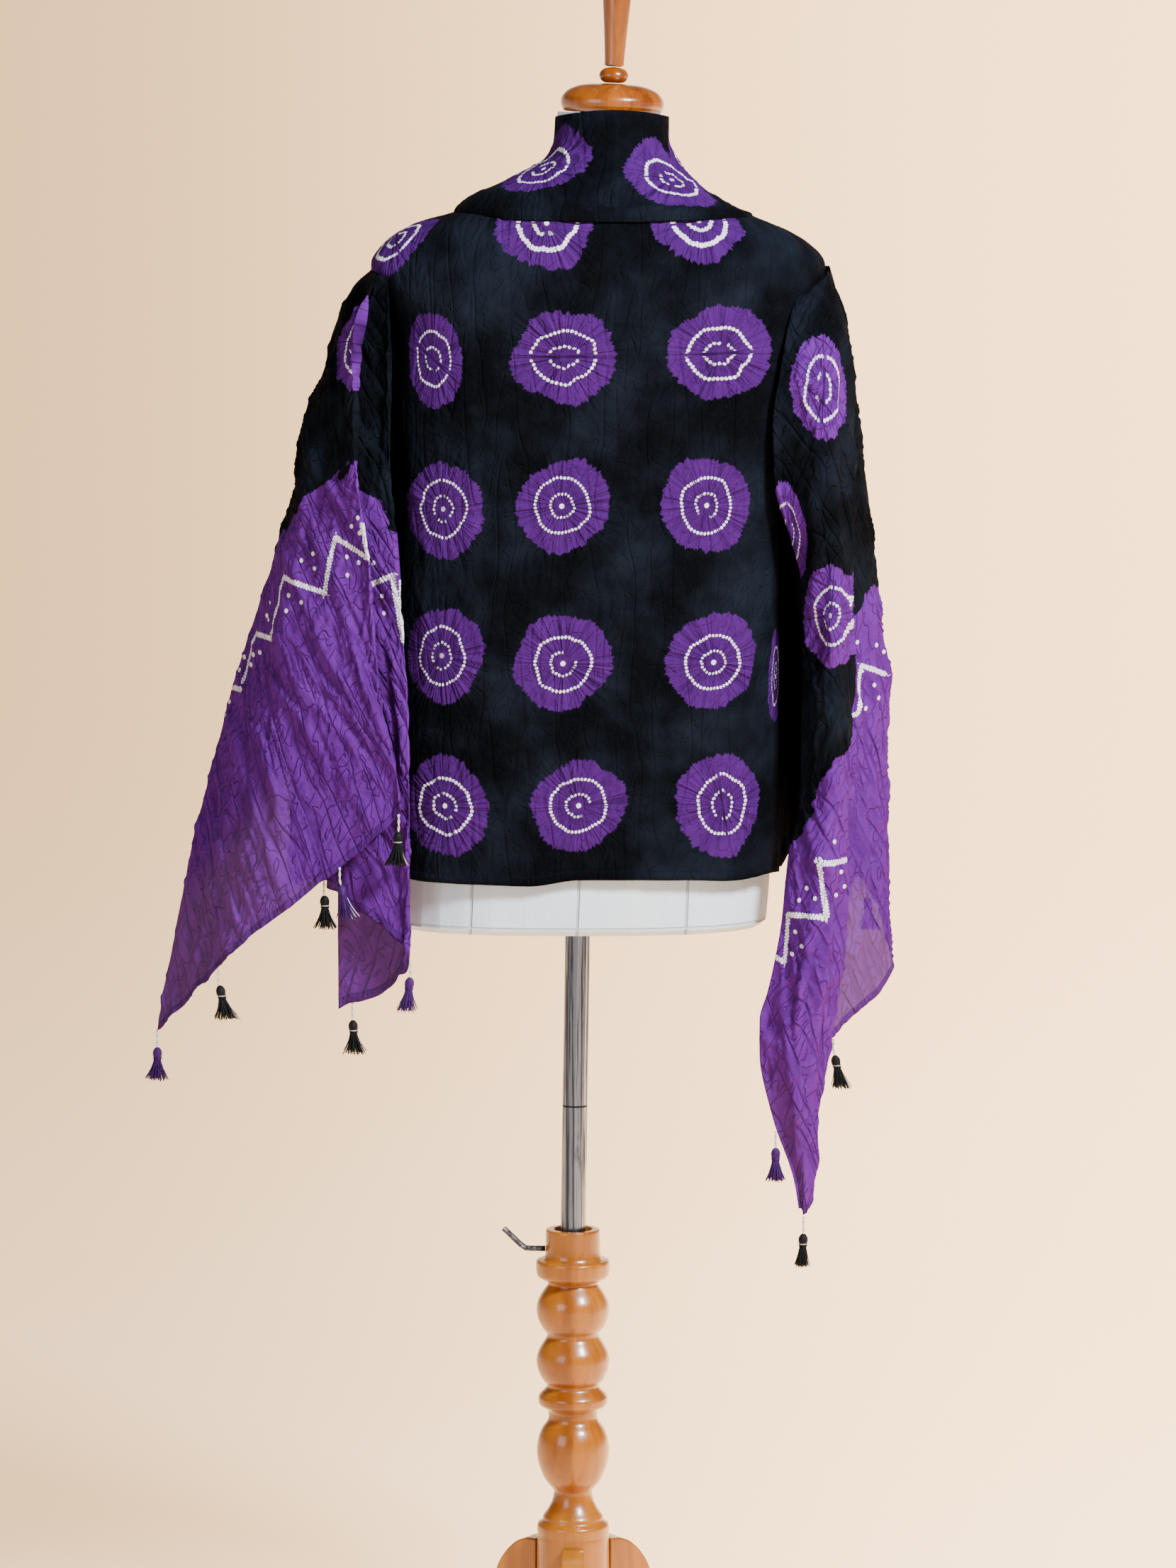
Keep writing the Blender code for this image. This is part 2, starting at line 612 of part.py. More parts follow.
clear_scene()
make_form()
make_cap_and_handle()
make_pole()
make_post()
make_lever()
make_legs()
make_stole()
centre_on_origin()
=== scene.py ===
"""Looks for the dupatta stole on its dress form: cloth, tassels, form, wood, metal, floor, light and camera."""

from math import atan2, cos, pi, radians, sin
from types import SimpleNamespace

import bmesh
import bpy
import numpy as np
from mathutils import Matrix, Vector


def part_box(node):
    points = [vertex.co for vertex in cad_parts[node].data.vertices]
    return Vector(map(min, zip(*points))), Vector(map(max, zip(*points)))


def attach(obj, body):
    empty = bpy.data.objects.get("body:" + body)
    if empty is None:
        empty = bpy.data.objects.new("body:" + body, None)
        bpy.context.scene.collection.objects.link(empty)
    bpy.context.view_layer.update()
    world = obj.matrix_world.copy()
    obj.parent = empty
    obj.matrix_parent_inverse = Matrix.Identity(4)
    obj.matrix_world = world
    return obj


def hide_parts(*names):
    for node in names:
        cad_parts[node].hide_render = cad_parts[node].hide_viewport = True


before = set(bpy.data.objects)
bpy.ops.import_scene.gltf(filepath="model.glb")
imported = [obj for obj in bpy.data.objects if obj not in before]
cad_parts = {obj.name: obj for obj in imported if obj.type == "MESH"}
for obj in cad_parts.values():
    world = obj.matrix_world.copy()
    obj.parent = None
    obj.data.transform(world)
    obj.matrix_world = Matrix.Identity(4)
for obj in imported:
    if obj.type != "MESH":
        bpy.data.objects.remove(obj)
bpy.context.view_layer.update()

MM = 0.001
MM_PER_PX = 0.665
# From the drape's own axes, with the post at x = 0 and y = 0, to the model's
SHIFT = np.array([50.3, 60.5, 0.0])

# The photograph's camera in the drape's axes
FOCUS_PX = 8571.0
MIDDLE_PX = (829.5, 1106.0)
PICTURE_HIGH = 2212
SENSOR = 36.0
CAMERA_SIDE = 0.0143
CAMERA_BACK = 5.7
CAMERA_HIGH = 1.53
CAMERA_PITCH = radians(6.3)

FORM_BOTTOM = 771.0
FORM_LEAN = 0.0422
FORM_FOOT_X = 4.9

# The drape's sections in mm. They are the model's own, apart from the collar, the right wing's first row and the
# pleat, which follow the photograph more closely.
# Rings: z near, z side, left, right, near, squareness, first and last angle
COLLAR = [
    (1533, 1527, 52.9, 52.9, 52.3, 2.0, 172, 368), (1511, 1504, 53.5, 53.5, 54, 2.0, 168, 372),
    (1492, 1490, 58.5, 58.5, 60, 2.0, 160, 380), (1474, 1478, 78, 67, 74, 2.1, 156, 384),
    (1460, 1465, 103, 83, 90, 2.2, 160, 381), (1449, 1457, 121, 93, 104, 2.3, 166, 375),
    (1441, 1449, 134, 106, 111.5, 2.4, 168, 372), (1435.5, 1441.5, 140, 120, 115, 2.5, 170, 370),
    (1432.5, 1436, 142, 133.5, 115, 2.5, 171, 369), (1431, 1434.5, 140.5, 133, 113.4, 2.5, 171, 369),
]
PANEL = [
    (1441, 1441, 128, 120, 107, 2.4, 173, 367), (1428, 1433, 158, 136, 113, 2.5, 173, 366),
    (1408, 1422, 190, 166, 118, 2.7, 174, 362), (1382, 1407, 209, 190, 121, 3.0, 176, 364),
    (1350, 1389, 218, 204, 123, 3.3, 177, 358), (1310, 1340, 200, 206.5, 123, 3.5, 182, 315),
    (1245, 1255, 198, 198, 124, 3.4, 182, 315), (1180, 1183, 196, 186, 125, 3.2, 182, 326),
    (1100, 1100, 194, 181, 126, 3.0, 182, 340), (1000, 1000, 190, 183, 127, 3.0, 182, 344),
    (900, 900, 186, 187, 128, 3.0, 182, 346), (823, 823, 184, 190, 129, 3.0, 182, 346),
]
# Heights: z, then x and y of each line across the stretch
OUTER = [
    (1386, -186.9, 20, -186.5, -22, -175.5, -80, -172.5, -72), (1368, -193, 26, -206, -30, -187, -98, -185, -84),
    (1300, -219, 20, -231, -50, -198, -122, -208, -98), (1210, -250, 12, -258, -62, -198, -134, -222, -104),
    (1125, -278, 8, -264, -80, -187, -140, -222, -106), (1000, -316, 0, -272, -96, -177, -145, -222, -101),
    (900, -346, -8, -280, -104, -158, -147, -226, -98), (800, -369, -14, -296, -108, -148, -147, -231, -96),
    (660, -394, -22, -318, -104, -142, -147, -234, -96),
]
INNER = [
    (1368, 1.7, 1.8, -170, -86, -171, -74, -178, -52), (1300, 1.7, 1.8, -167, -110, -174, -88, -190, -66),
    (1210, 1.7, 1.8, -168, -117, -178, -92, -200, -71), (1125, 1.7, 1.8, -163, -123, -180, -94, -208, -73),
    (1000, 1.7, 1.8, -153, -126, -176, -96, -215, -74), (900, 1.7, 1.8, -151, -128, -177, -96, -218, -74),
    (800, 1.7, 1.8, -151, -128, -177, -96, -219, -75), (660, 1.7, 1.8, -151, -128, -177, -96, -219, -76),
]
FLANK = [
    (1368, -0.8, 0.6, -196, -8, -190, 34, -180, 4), (1300, -0.8, 0.6, -212, 0, -196, 52, -177, -6),
    (1210, -0.8, 0.6, -234, 6, -208, 67, -179, -8), (1125, -0.8, 0.6, -249, 9, -218, 78, -179, -8),
    (1000, -0.8, 0.6, -262, 12, -226, 86, -180, -8), (900, -0.8, 0.6, -267, 14, -228, 90, -181, -8),
    (800, -0.8, 0.6, -270, 16, -230, 92, -181, -8),
]
FRONT = [
    (1386, 218, -82.5, 230.5, -61.5, 237, -36, 237.5, -16), (1343, 200, -103.8, 231, -103, 253, -66, 247, -38),
    (1300, 192, -113, 229, -119, 258, -80, 248, -46), (1245, 184, -114, 227, -124, 259, -88, 246, -52),
    (1190, 186, -109, 227, -125, 260, -91, 244, -56), (1140, 201, -99, 233, -123, 260, -92, 244, -58),
    (1100, 211, -93, 238, -120, 260, -92, 243, -58), (1000, 213, -90, 240, -120, 260, -92, 242, -58),
    (900, 211, -92, 237, -121, 257, -92, 240, -58), (847, 201, -95, 232, -123, 255, -92, 238, -59),
    (780, 194, -97, 227, -123, 254, -92, 236, -60), (719, 182, -97, 218, -122, 249, -92, 232, -62),
    (690, 174, -97, 213, -121, 247, -92, 230, -63), (660, 174, -97, 210, -119, 243, -91, 227, -64),
    (600, 186, -96, 211, -112, 232, -89, 221, -70), (541, 206, -94, 216, -101, 225, -90, 220, -82),
    (500, 213, -92, 216, -94, 219, -91, 218, -88),
]
PLEAT = [
    (1330, 188, -88, 216, -40, 236, -28, 222, -76), (1245, 186, -84, 212, -34, 234, -34, 206, -90),
    (1150, 192, -58, 208, -4, 232, -22, 206, -84), (1000, 195, -52, 210, 6, 232, -14, 214, -78),
    (880, 196, -50, 212, 8, 232, -14, 212, -80), (800, 197, -50, 212, 8, 232, -14, 206, -80),
]
BACK = [
    (1388, 238, -16, 240, 2, 232, 18, 214, 26), (1343, 248, -28, 254, 4, 240, 36, 216, 50),
    (1245, 250, -38, 267, 6, 250, 50, 220, 66), (1134, 250, -44, 281, 10, 262, 62, 224, 78),
    (1049, 250, -46, 292, 12, 270, 68, 226, 86), (1000, 250, -46, 298, 14, 274, 72, 226, 88),
    (870, 248, -46, 299, 16, 274, 76, 224, 90), (756, 247, -46, 302, 18, 274, 80, 220, 92),
    (610, 244, -46, 306, 20, 272, 80, 214, 94),
]


def starting_from(rows, neighbour, column):
    """Rows whose first point is counted from a point of the neighbouring stretch."""
    return [(r[0], r[1] + n[column], r[2] + n[column + 1], *r[3:]) for r, n in zip(rows, neighbour)]


INNER = starting_from(INNER, OUTER[1:], 7)
FLANK = starting_from(FLANK, INNER, 7)
# The pleat's near edge goes on a little way behind the panel's margin
PLEAT = [(z, x - 4, y + 3, *rest) for z, x, y, *rest in PLEAT]

# Each stretch: its node, sections, rows and columns, flat cut in metres, heights of its top and hem, and tassels
STRETCHES = {
    "collar": dict(node="stole_collar", rings=COLLAR, size=(60, 190), flat=(0.36, 0.13), held="gathered"),
    "panel": dict(node="stole_panel", rings=PANEL, size=(190, 170), flat=(0.55, 0.64)),
    "outer": dict(
        node="stole_left_outer", levels=OUTER, size=(250, 140), flat=(0.28, 0.62),
        top=(1385, 1386, 1380, 1374), hem=(668, 766, 892, 822),
        hung=("left_1", "left_2", "left_3", "left_4", "left_5"),
    ),
    "inner": dict(
        node="stole_left_inner", levels=INNER, size=(190, 90), flat=(0.16, 0.60),
        top=(1381, 1382, 1380, 1376), hem=(816, 752, 716, 698), hung=("left_6", "left_7"),
    ),
    "flank": dict(
        node="stole_left_flank", levels=FLANK, size=(130, 70), flat=(0.24, 0.54),
        top=(1374, 1366, 1353, 1345), hem=(816, 806, 800, 822),
    ),
    "front": dict(
        node="stole_right_front", levels=FRONT, size=(290, 90), flat=(0.13, 0.85),
        top=(1362, 1378, 1385, 1385), hem=(512, 503, 505, 560), hung=("right_1", "right_2"),
    ),
    "pleat": dict(
        node="stole_right_pleat", levels=PLEAT, size=(110, 40), flat=(0.14, 0.46),
        top=(1300, 1325, 1325, 1315), hem=(826, 846, 868, 836),
    ),
    "back": dict(
        node="stole_right_back", levels=BACK, size=(210, 100), flat=(0.20, 0.68),
        top=(1380, 1388, 1388, 1388), hem=(664, 728, 806, 622), hung=("right_3", "right_4", "right_5"),
    ),
}

# Tied dots. A place here and below is a pixel of the picture or, out of sight, a share across up to 1 and a height
# in mm. Each dot also has how far its ring narrows to an eye in mm, the eye's turn, how much it is squeezed across and
# half the bead ring's breadth in mm.
DOTS = {
    "collar": [(766, 239, 2, 20, 1.0, 1.9), (947, 256, 3, -20, 1.0, 2.0),
               (0.06, 1478, 0, 0, 1.0, 1.8), (0.95, 1478, 0, 0, 1.0, 1.8)],
    "panel": [
        (771, 315, 2, 0, 1.0, 2.4), (986, 312, 3, 4, 1.0, 2.5), (560, 338, 4, -28, 1.15, 2.2),
        (793, 504, 6, 0, 0.96, 1.6), (1014, 499, 5, -3, 0.96, 1.8), (611, 509, 7, 25, 1.6, 1.6),
        (790, 715, 0, 0, 1.0, 1.5), (995, 712, 1.5, 60, 1.05, 1.6), (625, 719, 3, 85, 1.1, 1.5),
        (793, 938, 1, 15, 1.0, 1.6), (1006, 938, 0.6, 0, 1.0, 1.6), (625, 927, 3, 80, 1.1, 1.5),
        (813, 1141, 1, 0, 1.0, 1.6), (1020, 1139, 4, 78, 1.05, 1.6), (627, 1139, 2, 70, 1.0, 1.7),
        (1095, 957, 2, 80, 3.0, 1.5),
    ],
    "outer": [(508, 481, 4, 75, 1.1, 1.9), (0.02, 1240, 2, 60, 1.0, 1.6)],
    "flank": [(0.35, 1255, 1, 0, 1.0, 1.6), (0.38, 1113, 2, 40, 1.0, 1.6),
              (0.85, 1255, 0, 0, 1.0, 1.6), (0.85, 1113, 1, 0, 1.0, 1.6)],
    "front": [(1162, 550, 6, 82, 1.5, 2.0), (1114, 752, 4, 84, 2.6, 1.6),
              (1171, 867, 3, 80, 1.55, 1.8)],
    "back": [(0.72, 1300, 2, 20, 1.0, 1.6), (0.70, 1158, 4, 80, 1.0, 1.6)],
}

# The purple end's edge across each wing
END_EDGES = {
    "outer": [(384, 777), (401, 752), (423, 717), (439, 692), (464, 676),
              (483, 657), (501, 655)],
    "inner": [(511, 692), (532, 703), (541, 722), (553, 744)],
    "flank": [(0.0, 1062), (0.3, 1046), (0.6, 1058), (1.0, 1050)],
    "front": [(1117, 1190), (1130, 1172), (1148, 1147), (1153, 1121),
              (1158, 1096), (1176, 1075), (1199, 1055)],
    "back": [(1206, 866), (1220, 846), (1233, 827), (0.5, 1100), (1.0, 1062)],
}

# The beaded zigzag and the loose beads beside it
ZIGZAGS = {
    "outer": [(329, 968), (345, 973), (362, 895), (385, 902), (402, 813),
              (460, 836), (472, 757), (519, 788), (514, 738)],
    "inner": [(524, 824), (555, 813), (570, 905)],
    "flank": [(0.0, 1010), (0.2, 960), (0.4, 1012), (0.6, 962), (0.8, 1014),
              (1.0, 966)],
    "front": [(1193, 1214), (1157, 1217), (1165, 1294), (1112, 1290),
              (1106, 1355), (1094, 1352)],
    "back": [(1250, 951), (1217, 940), (1210, 1009), (1203, 1009)],
}
SPECKS = {
    "outer": [(424, 792), (441, 780), (441, 803), (410, 840), (426, 848), (409, 863), (486, 787), (505, 795),
              (488, 810), (497, 742), (505, 730), (508, 753), (383, 850), (375, 868), (381, 874), (367, 920),
              (360, 925), (356, 939), (347, 926), (341, 947), (327, 990), (319, 1008)],
    "inner": [(531, 794), (541, 840), (541, 864)],
    "front": [(1176, 1189), (1183, 1228), (1189, 1250), (1179, 1261), (1137, 1255), (1128, 1272), (1150, 1266),
              (1122, 1316), (1130, 1333), (1117, 1344)],
    "back": [(1233, 966), (1239, 984), (1222, 1001), (1236, 909), (1211, 905), (1246, 920)],
}

# Main creases, as pixels of the picture along each, half width and depth in mm
CREASES = {
    "outer": [
        ([(368, 947), (428, 1018), (456, 1079), (467, 1122)], 4.5, 2.6),
        ([(324, 990), (338, 1051), (330, 1133), (300, 1230)], 6.0, 3.2),
        ([(428, 969), (494, 1046), (549, 1122)], 4.0, 2.2),
        ([(483, 859), (527, 991), (549, 1057)], 4.5, 2.6),
        ([(350, 1010), (392, 1120), (400, 1210)], 5.0, 2.4),
        ([(275, 1188), (262, 1290), (247, 1400)], 5.0, 2.6),
        ([(302, 1243), (280, 1330), (255, 1410)], 4.0, 2.2),
        ([(400, 880), (452, 960), (500, 1010), (540, 1090)], 3.4, 1.8),
        ([(470, 520), (440, 640), (420, 760)], 6.0, 2.6),
        ([(500, 420), (485, 520), (480, 640)], 5.0, 2.4),
    ],
    "inner": [
        ([(540, 900), (556, 1020), (560, 1140)], 3.5, 1.8),
        ([(520, 1180), (545, 1260), (566, 1320)], 3.5, 1.6),
        ([(530, 480), (535, 600), (530, 690)], 4.0, 2.0),
    ],
    "front": [
        ([(1180, 480), (1172, 620), (1185, 780), (1180, 960)], 5.0, 2.4),
        ([(1150, 1240), (1140, 1330), (1120, 1460), (1128, 1600)], 4.0, 2.2),
        ([(1175, 1180), (1168, 1330), (1150, 1480), (1140, 1640)], 4.0, 2.4),
        ([(1100, 1380), (1110, 1480), (1126, 1620)], 3.5, 1.8),
        ([(1140, 650), (1150, 800), (1135, 980)], 6.0, 2.6),
        ([(1185, 1320), (1160, 1450), (1150, 1560)], 3.2, 1.6),
    ],
    "back": [
        ([(1225, 860), (1238, 1000), (1232, 1150)], 4.5, 2.2),
        ([(1215, 1060), (1222, 1200), (1216, 1340)], 4.0, 2.0),
    ],
    "panel": [
        ([(808, 380), (800, 450), (806, 620), (812, 850)], 3.5, 1.4),
        ([(720, 600), (760, 618), (840, 604), (900, 590)], 4.0, 1.2),
        ([(850, 800), (880, 850), (884, 900)], 3.5, 1.4),
        ([(900, 1040), (930, 1000), (980, 1050)], 4.0, 1.2),
        ([(700, 800), (780, 812), (900, 806)], 3.0, 1.0),
        ([(650, 400), (670, 640), (660, 900)], 7.0, 1.8),
        ([(1060, 420), (1045, 640), (1052, 900), (1060, 1130)], 8.0, 2.0),
        ([(660, 1030), (760, 1048), (900, 1040)], 4.0, 1.2),
    ],
    "collar": [
        ([(700, 285), (760, 292), (860, 300), (1000, 296)], 3.5, 2.0),
        ([(790, 225), (830, 262), (900, 292), (980, 300)], 3.2, 2.2),
        ([(940, 200), (962, 245), (1000, 282)], 3.0, 2.2),
        ([(786, 190), (800, 215), (850, 232), (930, 228)], 3.2, 1.8),
        ([(690, 272), (740, 262), (790, 268)], 2.8, 1.6),
    ],
}


def smooth(places, values, at):
    """The value at a place on a smooth curve, which never overshoots its values. Each place may have its own curve."""
    places = np.asarray(places, float)
    at = np.clip(np.asarray(at, float), places[0], places[-1])
    values = np.broadcast_to(np.asarray(values, float), (*at.shape, len(places)))
    gaps = np.diff(places)
    rises = np.diff(values, axis=-1) / gaps
    before = rises[..., :-1]
    after = rises[..., 1:]
    weigh_before = 2 * gaps[1:] + gaps[:-1]
    weigh_after = gaps[1:] + 2 * gaps[:-1]
    level = before * after <= 0
    mean = (weigh_before + weigh_after) / (
        weigh_before / np.where(level, 1, before) + weigh_after / np.where(level, 1, after)
    )
    slopes = np.concatenate([rises[..., :1], np.where(level, 0, mean), rises[..., -1:]], axis=-1)
    i = np.clip(np.searchsorted(places, at, side="right") - 1, 0, len(places) - 2)
    step = places[i + 1] - places[i]
    t = (at - places[i]) / step
    value, next_value, slope, next_slope = (
        np.take_along_axis(table, k[..., None], axis=-1)[..., 0] for table in (values, slopes) for k in (i, i + 1)
    )
    start = (1 + 2 * t) * (1 - t) ** 2 * value + t * (1 - t) ** 2 * step * slope
    end = t * t * (3 - 2 * t) * next_value + t * t * (t - 1) * step * next_slope
    return start + end


def signed_power(value, power):
    return np.sign(value) * np.abs(value) ** power


def form_axis_x(z):
    return FORM_FOOT_X + FORM_LEAN * (z - FORM_BOTTOM)


def ring_grid(rings, down, across):
    rows = np.linspace(0, len(rings) - 1, down + 1)[:, None]
    v = np.linspace(0, 1, across + 1)[None, :]
    z_near, z_side, left, right, near, square, first, last = (
        smooth(range(len(rings)), [r[k] for r in rings], rows) for k in range(8)
    )
    phi = np.radians(first + (last - first) * v)
    side = np.abs(np.cos(phi)) ** 2
    z = z_near + (z_side - z_near) * side
    x = form_axis_x(z) + np.where(np.cos(phi) < 0, left, right) * signed_power(np.cos(phi), 2 / square)
    y = near * signed_power(np.sin(phi), 2 / square)
    return np.stack([x, y, z + 0 * x], axis=-1)


def fold_grid(levels, top, hem, down, across):
    lines = range(len(top))
    v = np.linspace(0, lines[-1], across + 1)
    upper = smooth(lines, top, v)
    lower = smooth(lines, hem, v)
    z = upper + (lower - upper) * np.linspace(0, 1, down + 1)[:, None]
    rows = levels[::-1]
    heights = [row[0] for row in rows]

    def across_lines(axis):
        at_lines = [smooth(heights, [row[axis + 2 * k] for row in rows], z) for k in lines]
        return smooth(lines, np.stack(at_lines, axis=-1), v + 0 * z)

    return np.stack([across_lines(1), across_lines(2), z], axis=-1)


def to_picture(points):
    """Pixels of the picture and depth in metres for points in mm in the drape's axes."""
    x, y, z = (points[..., k] * MM for k in range(3))
    ahead = y + CAMERA_BACK
    above = z - CAMERA_HIGH
    depth = ahead * cos(CAMERA_PITCH) - above * sin(CAMERA_PITCH)
    rise = ahead * sin(CAMERA_PITCH) + above * cos(CAMERA_PITCH)
    return MIDDLE_PX[0] + FOCUS_PX * (x - CAMERA_SIDE) / depth, MIDDLE_PX[1] - FOCUS_PX * rise / depth, depth


CELLS = 64


def lattice_noise(x, y, seed):
    """Smooth noise from -1 to 1 over a plane, the same each run."""
    table = np.random.default_rng(seed).uniform(-1, 1, (CELLS, CELLS))
    i = np.floor(x).astype(int)
    j = np.floor(y).astype(int)
    a = x - i
    b = y - j
    a = a * a * (3 - 2 * a)
    b = b * b * (3 - 2 * b)
    i0, i1, j0, j1 = (k % CELLS for k in (i, i + 1, j, j + 1))
    low = table[i0, j0] * (1 - a) + table[i1, j0] * a
    high = table[i0, j1] * (1 - a) + table[i1, j1] * a
    return low * (1 - b) + high * b


# How far the fine folds of each wing run aside on their way down, and how loosely a stretch hangs where it isn't 1
LEAN = {"outer": 0.5, "inner": 0.35, "front": 0.3, "back": 0.25}
LOOSE = {"panel": 0.30, "collar": 0.45, "pleat": 0.6}
CREASE_DEPTH = 1.5
SAG = 3.0
# How far the panel and the collar stand off their sheets, and the deepest that their creases go inward, in mm
PANEL_OFF = 0.9
COLLAR_OFF = 0.6
DEEPEST = -0.1
# Each layer of folds: height, breadth and length in mm, seed, sharpness, mean and whether it runs the other way
FOLDS = (
    (3.4, 34, 125, 5, 4, 0.30, False), (2.4, 17, 62, 9, 7, 0.20, False),
    (1.8, 21, 36, 13, 7, 0.20, True), (0.8, 8, 22, 17, 5, 0.25, False),
)


def ridges(x, y, seed, sharp):
    """Sharp-topped folds from 0 to 1, bent by slower noise."""
    bend = lattice_noise(x * 0.4, y * 0.4, seed + 1)
    return (1 - np.abs(lattice_noise(x + 1.3 * bend, y + 1.1 * bend, seed))) ** sharp


class Stretch:
    """One stretch of the stole: its fine grid, its lengths across and down, and where the camera sees it."""

    def __init__(self, key, seed):
        self.key = key
        spec = STRETCHES[key]
        down, across = spec["size"]
        if "rings" in spec:
            self.grid = ring_grid(spec["rings"], down, across)
        else:
            self.grid = fold_grid(spec["levels"], spec["top"], spec["hem"], down, across)
        self.seed = seed
        g = self.grid
        side = np.linalg.norm(np.diff(g, axis=1), axis=2)
        drop = np.linalg.norm(np.diff(g, axis=0), axis=2)
        self.s = np.concatenate([np.zeros((down + 1, 1)), np.cumsum(side, axis=1)], axis=1)
        self.t = np.concatenate([np.zeros((1, across + 1)), np.cumsum(drop, axis=0)], axis=0)
        self.to_hem = self.t[-1][None, :] - self.t
        self.rings = "rings" in spec
        if self.rings:
            self.s -= self.front_middle()[:, None]
        else:
            self.s -= self.s[:, across // 2][:, None]
        if key == "panel":
            self.t = g[0, 0, 2] - g[..., 2]
        self.normal = self.normals(g)
        self.px, self.py, self.depth = to_picture(g)

    def front_middle(self):
        """The length across at which each row passes the middle of the form's front."""
        off = self.grid[..., 0] - form_axis_x(self.grid[..., 2])
        middle = []
        for row, places in zip(off, self.s):
            k = int(np.argmax(row > 0))
            share = -row[k - 1] / (row[k] - row[k - 1])
            middle.append(places[k - 1] + share * (places[k] - places[k - 1]))
        return np.array(middle)

    @staticmethod
    def normals(g):
        n = np.cross(np.gradient(g, axis=1), np.gradient(g, axis=0))
        return n / np.maximum(np.linalg.norm(n, axis=2, keepdims=True), 1e-9)

    def find(self, place):
        """The row and column at a pixel of the picture, or at a share across, up to 1, and a height in mm."""
        a, b = place[:2]
        if a <= 1:
            column = int(round(a * (self.grid.shape[1] - 1)))
            return int(np.argmin(np.abs(self.grid[:, column, 2] - b))), column
        off = np.hypot(self.px - a, self.py - b)
        close = off < off.min() + 2.0
        nearest = np.argmin(np.where(close, self.depth + off * 0.01, HIDDEN))
        return np.unravel_index(nearest, self.px.shape)

    def nearest(self, route):
        """How far each point is from a route in the picture, in pixels and with its side, and the share along it."""
        best = np.full(self.px.shape, 1e9)
        share = np.zeros(self.px.shape)
        steps = len(route) - 1
        for k, (a, b) in enumerate(zip(route, route[1:])):
            along = b - a
            x, y = self.px - a[0], self.py - a[1]
            t = np.clip((x * along[0] + y * along[1]) / (along @ along), 0, 1)
            off = np.hypot(x - t * along[0], y - t * along[1])
            closer = off < np.abs(best)
            best = np.where(closer, off * np.sign(x * along[1] - y * along[0] + 1e-9), best)
            share = np.where(closer, (k + t) / steps, share)
        return best, share

    def crease(self):
        """How far each point stands off its sheet, in mm, from the listed creases and finer crumpling."""
        height = np.zeros(self.px.shape)
        for number, (route, wide, deep) in enumerate(CREASES.get(self.key, [])):
            off, share = self.nearest(np.array(route, float))
            d = off * MM_PER_PX / wide
            fade = np.sin(pi * share) ** 0.6
            uneven = 0.75 + 0.35 * lattice_noise(share * 7, share * 0 + number, self.seed + 40)
            height += CREASE_DEPTH * deep * fade * uneven * (np.exp(-(d**2)) - 0.7 * np.exp(-((d - 1.7) ** 2)))
        across = self.s - LEAN.get(self.key, 0.0) * self.t
        loose = LOOSE.get(self.key, 1.0)
        height += loose * SAG * lattice_noise(across / 58, self.t / 190, self.seed)
        for high, wide, long, seed, sharp, mean, is_counter in FOLDS:
            aside = self.s + 0.5 * self.t if is_counter else across
            height += loose * high * (ridges(aside / wide, self.t / long, self.seed + seed, sharp) - mean)
        return height

    def shaped(self):
        """The grid with its creases, which fade where a neighbouring stretch or the form is close."""
        rows, columns = self.px.shape
        down = np.linspace(0, 1, rows)[:, None]
        v = np.linspace(0, 1, columns)[None, :]

        def fade(share, over=0.05, least=0.0):
            return np.clip(share / over, least, 1)

        h = self.crease()
        if self.key == "panel":
            h = np.maximum(h + PANEL_OFF, DEEPEST) * fade(down) * fade(v, 0.04) * fade(1 - v, 0.04)
        elif self.key == "collar":
            h = np.maximum(h + COLLAR_OFF, DEEPEST) * fade(down, 0.1) * fade(1 - down, 0.1, 0.1)
        else:
            first = 0.6 if self.key in ("outer", "back") else 0.15
            h = h * fade(down) * fade(v, least=first) * fade(1 - v, least=0.15)
        points = self.grid + self.normal * facing(self.grid, self.normal) * h[..., None]
        if self.key != "collar":
            wide, deep = (48, 3.5) if self.rings else (17, 3.0)
            points[..., 2] -= deep * lattice_noise(self.s / wide, 0 * self.t, self.seed + 30) * down**9
        return points


def facing(grid, normal):
    """1 or -1, so that the creases stand away from the form."""
    middle = grid.shape[0] // 2, grid.shape[1] // 2
    point = grid[middle]
    away = np.array([point[0] - form_axis_x(point[2]), point[1], 0.0])
    return 1.0 if (normal[middle] @ away) > 0 else -1.0


def face_table(rows, columns):
    r, c = np.meshgrid(np.arange(rows - 1), np.arange(columns - 1), indexing="ij")
    a = (r * columns + c).ravel()
    return np.stack([a, a + columns, a + columns + 1, a + 1], axis=1)


def set_map(mesh, name, values):
    layer = mesh.uv_layers.new(name=name)
    layer.uv.foreach_set("vector", np.ascontiguousarray(values, dtype=np.float32).ravel())


# Stand for too far away to count: in metres for a pattern, and in mm
FAR = 9.0
HIDDEN = 99.0
# How far from a stitch or a loose bead a face still takes its pattern, in mm
STITCH_REACH = 5.5
STITCH_THROUGH = 22.0
SPECK_REACH = 9.0
BEAD_HALF = 1.5
# The upward share of a normal under which a dot is measured along the cloth
UPRIGHT = 0.15
# How sheer each stretch's single layer looks near its hem, from 0 to 1
SHEER = {"outer": 0.45, "inner": 0.4, "back": 0.68, "front": 0.25}
SHEER_HIGH = 200.0
CLOTH_THICK = 0.0006


